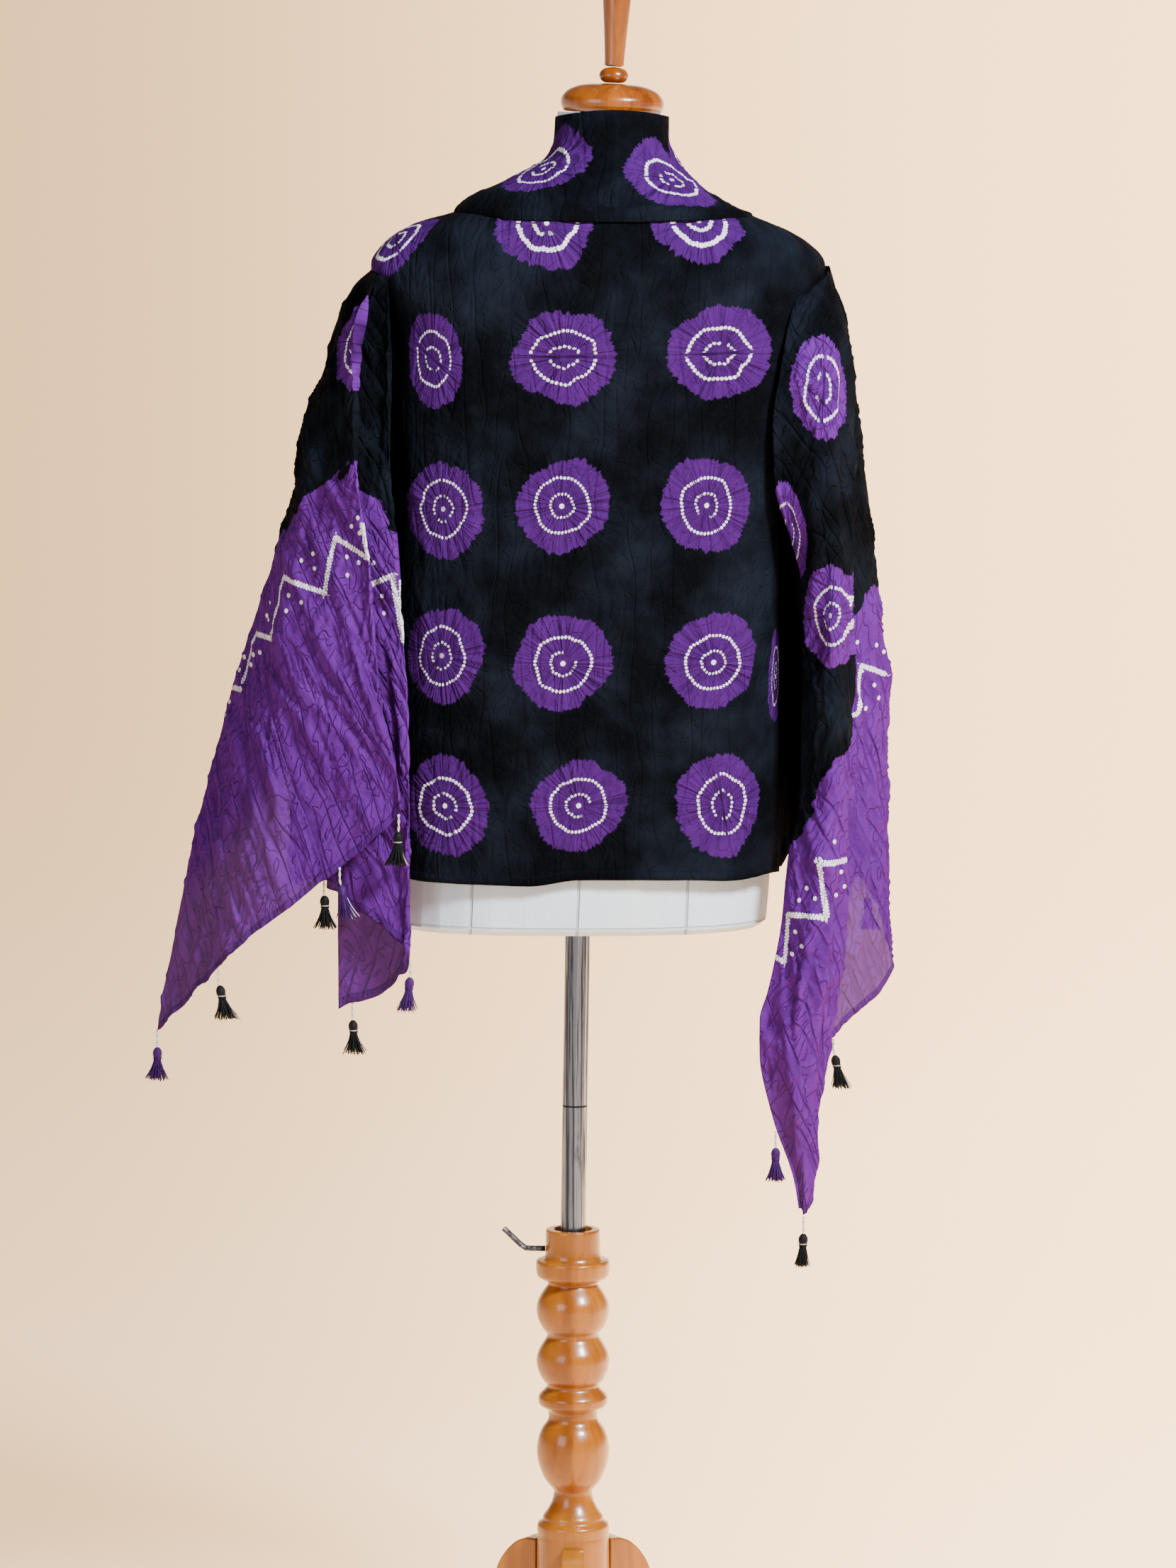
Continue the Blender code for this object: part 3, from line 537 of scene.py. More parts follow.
def dot_maps(cloth, faces):
    """For each face corner, its offset from the nearest tied dot in metres, and that dot's eye and seed."""
    count = len(faces)
    offset = np.full((count, 4, 2), FAR)
    look = np.zeros((count, 4, 2))
    thick = np.zeros((count, 4, 2))
    thick[...] = (BEAD_HALF * MM, SHEER.get(cloth.key, 0.0))
    s = cloth.s.ravel()[faces]
    t = cloth.t.ravel()[faces]
    corner = cloth.grid.reshape(-1, 3)[faces]
    best = np.full(count, 1e9)
    for number, dot in enumerate(DOTS.get(cloth.key, [])):
        row, column = cloth.find(dot)
        eye, turn, squeeze, half = dot[2:]
        if cloth.rings and abs(cloth.normal[row, column, 2]) < UPRIGHT:
            x = s - cloth.s[row, column]
            y = t - cloth.t[row, column]
        else:
            level = np.cross((0.0, 0.0, 1.0), cloth.normal[row, column])
            level = level / np.linalg.norm(level)
            from_dot = corner - cloth.grid[row, column]
            x = from_dot @ level
            y = from_dot @ np.cross(level, cloth.normal[row, column])
        reach = np.hypot(x.mean(axis=1), y.mean(axis=1))
        nearer = reach < best
        best = np.where(nearer, reach, best)
        x = x * squeeze
        c, k = cos(radians(turn)), sin(radians(turn))
        turned = np.stack([x * c + y * k, y * c - x * k], axis=-1) * MM
        offset[nearer] = turned[nearer]
        look[nearer] = (eye * MM, number * 3.7 + cloth.seed * 1.3)
        thick[nearer, :, 0] = half * MM
    return offset, look, thick


def bead_maps(cloth, points, faces):
    """For each face corner, its place along and across the nearest zigzag stitch, and from the nearest bead."""
    flat = points.reshape(-1, 3)
    normal = cloth.normal.reshape(-1, 3)
    corner = flat[faces]
    middle = corner.mean(axis=1)
    outward = normal[faces[:, 0]]
    count = len(faces)
    line = np.full((count, 4, 2), FAR)
    best = np.full(count, STITCH_REACH)
    places = [points[cloth.find(p)] for p in ZIGZAGS.get(cloth.key, [])]
    run = 0.0
    for a, b in zip(places, places[1:]):
        length = np.linalg.norm(b - a)
        direction = (b - a) / length
        t = np.clip((middle - a) @ direction, 0, length)
        away = middle - a - t[:, None] * direction
        off = np.linalg.norm(away - (away * outward).sum(axis=1)[:, None] * outward, axis=1)
        off = np.where(np.linalg.norm(away, axis=1) < STITCH_THROUGH, off, HIDDEN)
        nearer = off < best
        best = np.where(nearer, off, best)
        along = (corner - a) @ direction
        cross = np.cross(normal[faces], direction)
        aside = ((corner - a) * cross).sum(axis=2)
        past = np.maximum(0, np.maximum(-along, along - length))
        aside = np.hypot(aside, 1.6 * past) * np.where(aside < 0, -1, 1)
        line[nearer] = (np.stack([along + run, aside], axis=-1) * MM)[nearer]
        run += length
    speck = np.full((count, 4, 2), FAR)
    best = np.full(count, SPECK_REACH)
    for pixel in SPECKS.get(cloth.key, []):
        place = points[cloth.find(pixel)]
        off = np.linalg.norm(middle - place, axis=1)
        nearer = off < best
        best = np.where(nearer, off, best)
        speck[nearer] = ((corner - place)[..., [0, 2]] * MM)[nearer]
    return line, speck


def end_map(cloth, points):
    """Signed distance in metres past the purple end's edge, and the place along it."""
    edge = END_EDGES.get(cloth.key)
    shape = cloth.px.shape
    if not edge:
        return np.stack([np.full(shape, -FAR), cloth.s * MM], axis=-1)
    every = np.arange(shape[1])
    columns, rows = zip(*sorted(cloth.find(p)[::-1] for p in edge))
    at = np.interp(every, columns, rows)
    low = np.clip(np.floor(at).astype(int), 0, shape[0] - 2)
    part = (at - low)[:, None]
    route = points[low, every] * (1 - part) + points[low + 1, every] * part
    run = np.concatenate([[0], np.cumsum(np.linalg.norm(np.diff(route, axis=0), axis=1))])
    flat = points.reshape(-1, 3)
    best = np.full(len(flat), 1e9)
    along = np.zeros(len(flat))
    for place, length in zip(route, run):
        off = np.linalg.norm(flat - place, axis=1)
        nearer = off < best
        best = np.where(nearer, off, best)
        along = np.where(nearer, length, along)
    sign = np.where(np.arange(shape[0])[:, None] > at[None, :], 1.0, -1.0).ravel()
    return np.stack([best * sign * MM, along * MM], axis=-1).reshape(*shape, 2)


def add_object(name, data):
    made = bpy.data.objects.new(name, data)
    bpy.context.scene.collection.objects.link(made)
    return made


def put(name, mesh, node):
    """A piece of the look, which rides on the part's one body in place of a node."""
    made = add_object(name, mesh)
    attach(made, "root")
    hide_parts(node)
    return made


def make_cloth(key, seed, voiles):
    cloth = Stretch(key, seed)
    points = cloth.shaped()
    rows, columns = cloth.px.shape
    faces = face_table(rows, columns)
    mesh = bpy.data.meshes.new(f"cloth_{key}")
    placed = (points + SHIFT).reshape(-1, 3) * MM
    mesh.from_pydata(placed.tolist(), [], faces.tolist())
    mesh.shade_smooth()
    lengths = np.stack([cloth.s, cloth.t], axis=-1).reshape(-1, 2) * MM
    ends = end_map(cloth, points).reshape(-1, 2)
    edge = np.minimum(cloth.s - cloth.s[:, :1], cloth.s[:, -1:] - cloth.s)
    to_hem = cloth.to_hem + (1000.0 if key == "collar" else 0.0)
    rim = np.stack([to_hem, edge], axis=-1).reshape(-1, 2) * MM
    offset, look, thick = dot_maps(cloth, faces)
    line, speck = bead_maps(cloth, points, faces)
    for name, values in (
        ("cloth", lengths[faces]), ("end", ends[faces]), ("rim", rim[faces]), ("dot", offset),
        ("look", look), ("thick", thick), ("line", line), ("speck", speck),
    ):
        set_map(mesh, name, values)
    if key not in SHEER:
        mesh.materials.append(voiles["body"])
    else:
        mesh.materials.append(voiles["wing"])
        mesh.materials.append(voiles["sheer"])
        near_hem = to_hem.ravel()[faces].min(axis=1) < SHEER_HIGH
        mesh.polygons.foreach_set("material_index", near_hem.astype(int))
    made = put(f"cloth_{key}", mesh, STRETCHES[key]["node"])
    wall = made.modifiers.new("wall", "SOLIDIFY")
    wall.thickness = CLOTH_THICK
    wall.offset = 0.0
    return made


class Value:
    """A node's output, for plain arithmetic with numbers and other outputs."""

    def __init__(self, net, socket):
        self.net = net
        self.socket = socket

    def __add__(self, other):
        return self.net.math("ADD", self, other)

    def __sub__(self, other):
        return self.net.math("SUBTRACT", self, other)

    def __rsub__(self, other):
        return self.net.math("SUBTRACT", other, self)

    def __mul__(self, other):
        return self.net.math("MULTIPLY", self, other)

    def __truediv__(self, other):
        return self.net.math("DIVIDE", self, other)

    def __abs__(self):
        return self.net.math("ABSOLUTE", self)

    __radd__ = __add__
    __rmul__ = __mul__


class Net:
    """The nodes of a material or of the world, with a short call for each kind."""

    def __init__(self, owner):
        owner.use_nodes = True
        self.owner = owner
        self.tree = owner.node_tree
        self.shader = next(node for node in self.tree.nodes if node.type in ("BSDF_PRINCIPLED", "BACKGROUND"))

    def node(self, kind, inputs=(), output=0, **settings):
        """The output of a new node. Its inputs are pairs of a name or a number and a value."""
        made = self.tree.nodes.new(kind)
        for key, value in settings.items():
            setattr(made, key, value)
        for key, value in inputs:
            self.feed(made.inputs[key], value)
        return Value(self, made.outputs[output])

    def feed(self, socket, value):
        if isinstance(value, Value):
            self.tree.links.new(value.socket, socket)
        else:
            socket.default_value = (*value, 1.0) if socket.type == "RGBA" else value

    def math(self, operation, a, b=0.0):
        return self.node("ShaderNodeMath", enumerate((a, b)), operation=operation)

    def largest(self, first, *others):
        for other in others:
            first = self.math("MAXIMUM", first, other)
        return first

    def length(self, a, b):
        return self.math("SQRT", a * a + b * b)

    def shifted(self, place, by):
        return self.node("ShaderNodeVectorMath", enumerate((place, by)), operation="ADD")

    def scaled(self, place, by):
        return self.node("ShaderNodeVectorMath", enumerate((place, by)), operation="MULTIPLY")

    def join(self, x, y, z=0.0):
        return self.node("ShaderNodeCombineXYZ", enumerate((x, y, z)))

    def split(self, vector):
        first = self.node("ShaderNodeSeparateXYZ", [(0, vector)])
        return [Value(self, socket) for socket in first.socket.node.outputs]

    def uv(self, name):
        return self.node("ShaderNodeUVMap", uv_map=name)

    def place(self, kind="Object"):
        return self.node("ShaderNodeTexCoord", output=kind)

    def noise(self, place, scale, detail=2.0, rough=0.5, bend=0.0):
        """Soft noise from 0 to 1."""
        return self.node("ShaderNodeTexNoise", (
            ("Vector", place), ("Scale", scale), ("Detail", detail), ("Roughness", rough), ("Distortion", bend)))

    def step(self, value, low, high, start=0.0, end=1.0):
        """Goes smoothly from start to end while the value goes from low to high."""
        return self.node("ShaderNodeMapRange", (
            ("Value", value), ("From Min", low), ("From Max", high), ("To Min", start), ("To Max", end),
        ), interpolation_type="SMOOTHSTEP")

    def mix(self, share, a, b):
        """The colour a where the share is 0 and b where it is 1."""
        return self.node("ShaderNodeMix", ((0, share), (6, a), (7, b)), 2, data_type="RGBA")

    def bump(self, height, distance=1.0):
        return self.node("ShaderNodeBump", (("Strength", 1.0), ("Distance", distance), ("Height", height)))

    def paint(self, **values):
        """Feeds the shader's own sockets and gives back the material or the world."""
        for key, value in values.items():
            self.feed(self.shader.inputs[key.replace("_", " ")], value)
        return self.owner


def new_material(name):
    return Net(bpy.data.materials.new(name))


def beads(net, along, spacing, across, half, seed):
    """Round white beads in a row: 1 on a bead. along and across are in metres."""
    turn = along / spacing
    jitter = net.noise(net.join(net.math("FLOOR", turn), seed), 7.3, 0.0)
    shift = (net.math("FRACT", turn) - 0.5) * spacing
    wobble = (jitter - 0.5) * (half * 1.1)
    reach = net.length(shift * 1.05, (across + wobble) * 0.92)
    return net.step(reach / (half * (jitter * 0.42 + 0.86)), 1.15, 0.85)


# A tied dot's radii and the stitches' spacing in metres
DISC_RADIUS = 0.0432
OUTER_RING = 0.0252
INNER_RING = 0.0108
STITCH = 0.0030
STITCH_HALF = 0.00138
# The zigzag's two rows of stitches: ahead, aside and seed
STITCH_ROWS = ((0.0, -0.0011, 2.0), (0.0015, 0.0011, 6.0))

BLACK_DEEP = (0.0013, 0.0016, 0.0027)
BLACK_PALE = (0.0075, 0.0105, 0.0175)
BLACK_THREAD = (0.018, 0.022, 0.032)
DYE_DEEP = (0.092, 0.012, 0.205)
DYE_PALE = (0.118, 0.017, 0.252)
# Painted shade: the purple darkens in the valleys of the crumpling
PAINTED_FOLD_SHADE = (0.040, 0.005, 0.100)
# Painted shade: the purple darkens along the crease lines
PAINTED_CREASE_SHADE = (0.026, 0.003, 0.066)
DYE_THREAD = (0.20, 0.05, 0.36)
# Painted shade: the purple darkens in the valleys of the radial puckers round each dot
PAINTED_SPOKE_SHADE = (0.035, 0.006, 0.075)
DYE_EYE = (0.02, 0.004, 0.04)
# Painted shade: the purple of a whole stretch darkens towards this by 1 - bright
PAINTED_SHADE_DARK = (0.004, 0.0005, 0.010)
DYE_HEM = (0.052, 0.010, 0.12)
HEM_THREAD = (0.006, 0.002, 0.012)
RESIST_LOW = (0.80, 0.74, 0.92)
RESIST_HIGH = (1.0, 0.98, 1.0)


def tied_dot(net):
    """The nearest tied dot's measures in metres: its eye, and each place's reach, angle and ring."""
    a, b, _ = net.split(net.uv("dot"))
    eye, seed, _ = net.split(net.uv("look"))
    upright = abs(b)
    tall = upright + eye
    plain = net.length(a, b)
    safe = net.largest(plain, 0.0001)
    return SimpleNamespace(
        eye=eye, seed=seed, upright=upright, plain=plain, reach=net.length(a, tall) - eye * 0.83,
        angle=net.math("ARCTAN2", tall, a) * net.math("SIGN", b), ring=net.join(a / safe, b / safe, seed),
    )


def purple_parts(net, dot):
    """1 inside a dot's disc or past the purple end's edge, both feathered."""
    lobes = net.noise(dot.ring, 1.0, 1.0) - 0.5
    spikes = net.noise(dot.ring, 9.0, 2.0, 0.65) - 0.5
    fringe = net.noise(net.shifted(dot.ring, (4.0, 1.0, 0.0)), 24.0, 1.0) - 0.5
    edge = DISC_RADIUS + (lobes * 0.020 + (spikes * 0.011 + fringe * 0.004))
    past, along, _ = net.split(net.uv("end"))
    waves = net.noise(net.join(along, 0.0), 28.0, 1.0) - 0.5
    teeth = net.noise(net.join(along, 3.0), 190.0, 2.0, 0.65) - 0.5
    over = past + (waves * 0.022 + teeth * 0.012)
    return net.largest(*(net.step(value, -0.0007, 0.0009) for value in (edge - dot.reach, over)))


def white_parts(net, dot):
    """1 where the thread kept the cloth white: the rings, the centre, the zigzag and the loose beads."""
    half = net.split(net.uv("thick"))[0] * 0.86
    drift = (net.noise(dot.ring, 1.5, 1.0) - 0.5) * 0.0085
    corner = net.step(dot.upright, dot.eye * 0.28, dot.eye * 0.42 + 0.0003)
    outer = beads(net, dot.angle * 0.026, 0.0034, dot.reach - (OUTER_RING + drift), half, dot.seed)
    inner = beads(
        net, dot.angle * 0.0115, 0.0033, dot.reach - (INNER_RING + drift * 0.6), half * 0.88, dot.seed + 5.0)
    whole = net.step(net.noise(net.shifted(dot.ring, (0.0, 0.0, 7.0)), 0.9, 0.0), 0.34, 0.40)
    centre = net.step(dot.plain, 0.0028, 0.0020) * net.step(dot.eye, 0.0032, 0.0028)
    along, across, _ = net.split(net.uv("line"))
    zigzag = [
        beads(net, along + ahead, STITCH, across + aside, STITCH_HALF, seed) for ahead, aside, seed in STITCH_ROWS
    ]
    x, y, _ = net.split(net.uv("speck"))
    speck = net.step(net.length(x * 1.25, y), 0.0025, 0.0018)
    return net.largest(outer * corner, inner * corner * whole, centre, *zigzag, speck)


def cotton(name, crumpled, bright, aslant, is_sheer=False):
    """Tie-dyed voile: black ground, purple discs with feathered edges, beaded rings and purple ends."""
    net = new_material(name)
    place = net.uv("cloth")
    x, y, _ = net.split(place)
    dot = tied_dot(net)
    purple = purple_parts(net, dot)
    white = white_parts(net, dot)
    to_hem = net.split(net.uv("rim"))[0]
    hem = net.step(to_hem, 0.0082, 0.0074)
    seam = net.step(to_hem, 0.0076, 0.0082) * net.step(to_hem, 0.0094, 0.0086)
    # Crumpling and puckers as height in metres
    crumple = net.noise(net.join(x - y * aslant, y * 0.17), 44.0, 1.2, 0.6, bend=0.25)
    cross = net.noise(net.join(x + y * 0.35, y * 0.6), 62.0, 1.2, 0.6, bend=0.3)
    creases = net.largest(
        net.step(abs(crumple - 0.5), 0.042, 0.0), net.step(abs(cross - 0.5), 0.032, 0.0, 0.0, 0.7))
    soft = net.noise(place, 60.0, 4.0, 0.6, bend=0.4)
    spokes = net.noise(net.shifted(dot.ring, (1.0, 2.0, 0.0)), 6.5, 2.0, 0.6)
    near = net.step(dot.plain, 0.075, 0.03) * net.step(dot.plain, 0.001, 0.012)
    threads = [net.noise(net.join(x * a, y * b), 160.0, 2.0, 0.7) for a, b in ((14.0, 1.0), (1.0, 14.0))]
    slub = (threads[0] + threads[1]) * 0.5
    height = (
        crumple * (0.0055 * crumpled) + cross * (0.0040 * crumpled) + creases * (-0.0016 * crumpled)
        + soft * 0.0026 + (spokes - 0.5) * near * 0.0060 + white * 0.0007 + slub * 0.00022 + hem * 0.0006
    )
    # Colour, from the ground up
    patches = net.noise(place, 9.0, 3.0, 0.6)
    ground = net.mix(net.step(patches, 0.38, 0.68), BLACK_DEEP, BLACK_PALE)
    ground = net.mix(net.step(slub, 0.52, 0.72, 0.0, 0.35), ground, BLACK_THREAD)
    dye_and_painted_shade = net.mix(net.step(patches * 0.5 + soft * 0.5, 0.36, 0.62), DYE_DEEP, DYE_PALE)
    eye = net.step(dot.upright, 0.0022, 0.0004) * (net.step(dot.eye, 0.002, 0.004) * net.step(dot.plain, 0.03, 0.012))
    # The purple takes painted shade in the crumpling's valleys, along the creases, in the dots' radial puckers and, by
    # 1 - bright, all over
    for share, colour in (
        (net.step(crumple * 0.6 + cross * 0.4, 0.46, 0.34, 0.0, 0.12 * crumpled), PAINTED_FOLD_SHADE),
        (creases * (0.40 * crumpled), PAINTED_CREASE_SHADE), (net.step(slub, 0.40, 0.66, 0.0, 0.3), DYE_THREAD),
        (net.step(spokes, 0.50, 0.28, 0.0, 0.6) * near, PAINTED_SPOKE_SHADE), (eye * 0.7, DYE_EYE),
        (1.0 - bright, PAINTED_SHADE_DARK), (hem * 0.55, DYE_HEM),
    ):
        dye_and_painted_shade = net.mix(share, dye_and_painted_shade, colour)
    colour = net.mix(seam * 0.5, net.mix(purple, ground, dye_and_painted_shade), HEM_THREAD)
    colour = net.mix(white, colour, net.mix(net.noise(place, 700.0, 1.0), RESIST_LOW, RESIST_HIGH))
    net.paint(Base_Color=colour, Roughness=0.92, Normal=net.bump(height), Specular_IOR_Level=0.04)
    if is_sheer:
        # One wall lets this much through, and the sheet has two
        low = net.step(to_hem, 0.195, 0.10) * net.split(net.uv("thick"))[1]
        net.paint(Alpha=net.largest(1.0 - low * 0.26, hem * 0.92))
    return net.owner


def fibre(name, dark, light):
    """Cotton thread."""
    net = new_material(name)
    lines = net.noise(net.scaled(net.place(), (1800.0, 1800.0, 160.0)), 1.0)
    colour = net.mix(net.step(lines, 0.35, 0.7), dark, light)
    return net.paint(Base_Color=colour, Roughness=0.62, Normal=net.bump(lines, 0.0003), Specular_IOR_Level=0.2)


def wood(name, dark, middle, light, rough, ring_scale):
    """Turned and varnished wood with its grain along the post."""
    net = new_material(name)
    place = net.place()
    band = net.noise(net.scaled(place, (1.0, 1.0, 0.09)), ring_scale, 4.0, 0.6, bend=0.9)
    pores = net.noise(net.scaled(place, (900.0, 900.0, 26.0)), 1.0, 2.0, 0.7)
    worn = net.noise(place, 40.0, 4.0, 0.6)
    colour = net.mix(net.step(band, 0.34, 0.62), dark, middle)
    colour = net.mix(net.step(net.noise(place, 6.0), 0.4, 0.75, 0.0, 0.55), colour, light)
    colour = net.mix(net.step(pores, 0.58, 0.74, 0.0, 0.35), colour, dark)
    return net.paint(
        Base_Color=colour, Roughness=net.step(worn, 0.3, 0.8, rough, rough + 0.16),
        Normal=net.bump(pores * -0.00010 + worn * 0.00016), Coat_Weight=0.55, Coat_Roughness=0.12)


def chrome():
    """Worn plated tube with dark scratches down it, a few rubbed patches and a ring where it is cut."""
    net = new_material("pole_chrome")
    place = net.place()
    z = net.split(place)[2]
    scratch = net.step(net.noise(net.scaled(place, (420.0, 420.0, 5.0)), 1.0, 3.0, 0.65), 0.47, 0.56)
    spots = net.noise(net.scaled(place, (70.0, 70.0, 16.0)), 1.0, 4.0, 0.7)
    ring = net.step(z, 0.5925, 0.5937) * net.step(z, 0.5955, 0.5943)
    stain = net.largest(scratch * 0.8, net.step(spots, 0.58, 0.72) * 0.7, ring)
    return net.paint(
        Base_Color=net.mix(stain, (0.26, 0.30, 0.385), (0.010, 0.010, 0.013)), Metallic=1.0,
        Roughness=0.16 + (stain * 0.35 + spots * 0.12), Normal=net.bump(stain * -0.0001))


def form_cover():
    """The form's off-white jersey, with its sewn panels' seams down it and one round its foot."""
    net = new_material("form_cloth")
    place = net.place()
    x, _, z = net.split(place)
    upright = x - (0.0552 + (z - FORM_BOTTOM * MM) * FORM_LEAN)
    seams = [net.step(abs(upright - aside), 0.0016, 0.0005) for aside in (-0.100, -0.001, 0.100)]
    foot = net.step(z, 0.7765, 0.7772) * net.step(z, 0.7792, 0.7785)
    seam = net.largest(*seams, foot * 0.7)
    knit = net.noise(net.scaled(place, (1500.0, 1500.0, 900.0)), 1.0, 1.0)
    ripple = net.noise(net.scaled(place, (30.0, 30.0, 9.0)), 1.0, 3.0, 0.6, bend=0.4)
    colour = net.mix(net.step(net.noise(place, 14.0, 4.0, 0.6), 0.3, 0.75), (0.74, 0.85, 1.0), (0.84, 0.93, 1.0))
    return net.paint(
        Base_Color=net.mix(seam * 0.55, colour, (0.30, 0.32, 0.36)), Roughness=0.9, Sheen_Weight=0.15,
        Normal=net.bump(knit * 0.00018 + ripple * 0.0016 + seam * -0.0014))


def steel():
    """The clamp lever's dull steel."""
    net = new_material("lever_steel")
    marks = net.noise(net.place(), 260.0, 4.0, 0.65)
    colour = net.mix(net.step(marks, 0.4, 0.7), (0.05, 0.05, 0.055), (0.20, 0.20, 0.21))
    return net.paint(
        Base_Color=colour, Metallic=1.0, Roughness=net.step(marks, 0.3, 0.8, 0.28, 0.5),
        Normal=net.bump(marks, 0.0002))


def tube(points, radii, sides, verts, faces, phase=0.0):
    """Adds a tube with closed ends through points to verts and faces."""
    points = np.asarray(points, float)
    base = len(verts)
    for k, point in enumerate(points):
        ahead = points[min(k + 1, len(points) - 1)] - points[max(k - 1, 0)]
        ahead = ahead / np.linalg.norm(ahead)
        side = np.cross(ahead, (0.31, 0.95, 0.07))
        side = side / np.linalg.norm(side)
        up = np.cross(side, ahead)
        for q in range(sides):
            angle = 2 * pi * q / sides + phase
            verts.append(tuple(point + radii[k] * (side * cos(angle) + up * sin(angle))))
    for k in range(len(points) - 1):
        for q in range(sides):
            n = (q + 1) % sides
            low = base + k * sides
            faces.append((low + q, low + n, low + sides + n, low + sides + q))
    faces.append(tuple(base + q for q in reversed(range(sides))))
    faces.append(tuple(base + (len(points) - 1) * sides + q for q in range(sides)))


# Each tassel's sway to the side and towards the viewer, and its skirt's spread, as shares
TASSELS = {
    "left_1": ("purple", 0.0, 0.0, 1.0), "left_2": ("black", 0.22, -0.1, 1.15),
    "left_3": ("purple", 0.22, -0.1, 0.95), "left_4": ("black", -0.05, 0.0, 1.05),
    "left_5": ("black", 0.05, 0.1, 1.0), "left_6": ("purple", -0.10, -0.1, 0.90),
    "left_7": ("black", 0.06, 0.0, 1.0), "right_1": ("black", -0.03, 0.0, 0.55),
    "right_2": ("purple", 0.0, 0.0, 0.75), "right_3": ("black", 0.22, 0.0, 0.85),
    "right_4": ("purple", 0.1, 0.1, 0.95), "right_5": ("purple", 0.0, 0.1, 0.95),
}
STRANDS = 84
# The bound head's depths under the hem and radii in metres, and a strand's radii from root to tip
HEAD = [(0.0145, 0.0012), (0.0160, 0.0030), (0.0185, 0.0043), (0.0215, 0.0044), (0.0240, 0.0036), (0.0262, 0.0031)]
STRAND_RADII = [0.00050, 0.00048, 0.00046, 0.00042, 0.00036]


def make_tassel(key, materials):
    colour, sway, toward, spread = TASSELS[key]
    low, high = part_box(f"tassel_{key}")
    x, y, top = (low.x + high.x) / 2, (low.y + high.y) / 2, high.z
    rng = np.random.default_rng(sum(ord(c) * (k + 3) for k, c in enumerate(key)))
    verts, faces = [], []
    pale = []

    def line(points, radii, sides=5, is_pale=False, phase=0.0):
        before = len(faces)
        tube(points, radii, sides, verts, faces, phase)
        pale.extend([is_pale] * (len(faces) - before))

    def at(dx, dy, down):
        bow = max(down - 0.010, 0.0)
        return (x + dx + sway * bow, y + dy + toward * bow, top - down)

    # The cord is two strands twisted together, with a small knot at the hem
    for turn in (0.0, pi):
        route = [
            at(0.00055 * cos(turn + 9 * k / 12), 0.00055 * sin(turn + 9 * k / 12), -0.0016 + 0.0186 * k / 12)
            for k in range(13)
        ]
        line(route, [0.00062] * 13, 5, True)
    line([at(0, 0, -0.0012), at(0, 0, -0.0002), at(0, 0, 0.0010)], [0.0006, 0.0014, 0.0006], 7, True)
    line([at(0, 0, d) for d, _ in HEAD], [r for _, r in HEAD], 14)
    for k in range(4):
        down = 0.0232 + 0.0009 * k
        loop = [at(0.0037 * cos(a), 0.0037 * sin(a), down) for a in np.linspace(0, 2 * pi, 13)]
        line(loop, [0.0005] * 13, 4, colour == "black" and k == 1)
    for k in range(STRANDS):
        ring = (k % 4) / 4
        a = 2 * pi * k * 0.382 + rng.uniform(-0.1, 0.1)
        root = 0.0012 + 0.0019 * ring
        reach = spread * (0.0030 + 0.0074 * ring) * rng.uniform(0.8, 1.15)
        long = 0.0215 * rng.uniform(0.90, 1.04)
        curl = rng.uniform(-0.0012, 0.0012)
        route = []
        for q in range(5):
            f = q / 4
            out = root + reach * (0.35 * f + 0.65 * f * f)
            route.append(at(out * cos(a) - curl * f * sin(a), out * sin(a) + curl * f * cos(a), 0.0240 + long * f))
        line(route, STRAND_RADII, 4, k % 13 == 3, phase=a)
    mesh = bpy.data.meshes.new(f"fringe_{key}")
    mesh.from_pydata(verts, [], faces)
    mesh.shade_smooth()
    mesh.materials.append(materials[colour])
    mesh.materials.append(materials["white"])
    mesh.polygons.foreach_set("material_index", [int(p) for p in pale])
    return put(f"fringe_{key}", mesh, f"tassel_{key}")


def cut_corners(points, times=2):
    """The same line with its corners rounded by cutting them, its two ends kept."""
    for _ in range(times):
        cut = [points[0]]
        for a, b in zip(points, points[1:]):
            cut.append(tuple(0.78 * p + 0.22 * q for p, q in zip(a, b)))
            cut.append(tuple(0.22 * p + 0.78 * q for p, q in zip(a, b)))
        points = cut + [points[-1]]
    return points


def solid(name, verts, faces):
    """A smooth mesh from corners in mm in the drape's axes, joined where they meet and facing outward."""
    mesh = bpy.data.meshes.new(name)
    mesh.from_pydata(((np.array(verts) + SHIFT) * MM).tolist(), [], faces)
    work = bmesh.new()
    work.from_mesh(mesh)
    bmesh.ops.remove_doubles(work, verts=work.verts, dist=0.00001)
    bmesh.ops.recalc_face_normals(work, faces=work.faces)
    work.to_mesh(mesh)
    work.free()
    mesh.shade_smooth()
    return mesh


def lathe(name, node, profile, material, centre=(0.0, 0.0, 0.0), lean=0.0, steps=96):
    """A turned piece finer than its solid: profile is radius and height in mm, from axis to axis."""
    line = cut_corners(profile)
    verts = []
    for radius, height in line:
        for k in range(steps):
            a = 2 * pi * k / steps
            x, y = radius * cos(a), radius * sin(a)
            verts.append((x * cos(lean) + height * sin(lean), y, height * cos(lean) - x * sin(lean)))
    faces = []
    for low in range(0, len(verts) - steps, steps):
        for q, n in ((q, (q + 1) % steps) for q in range(steps)):
            faces.append((low + q, low + n, low + steps + n, low + steps + q))
    mesh = solid(name, np.array(verts) + centre, faces)
    mesh.set_sharp_from_angle(angle=radians(38))
    mesh.materials.append(material)
    put(name, mesh, node)


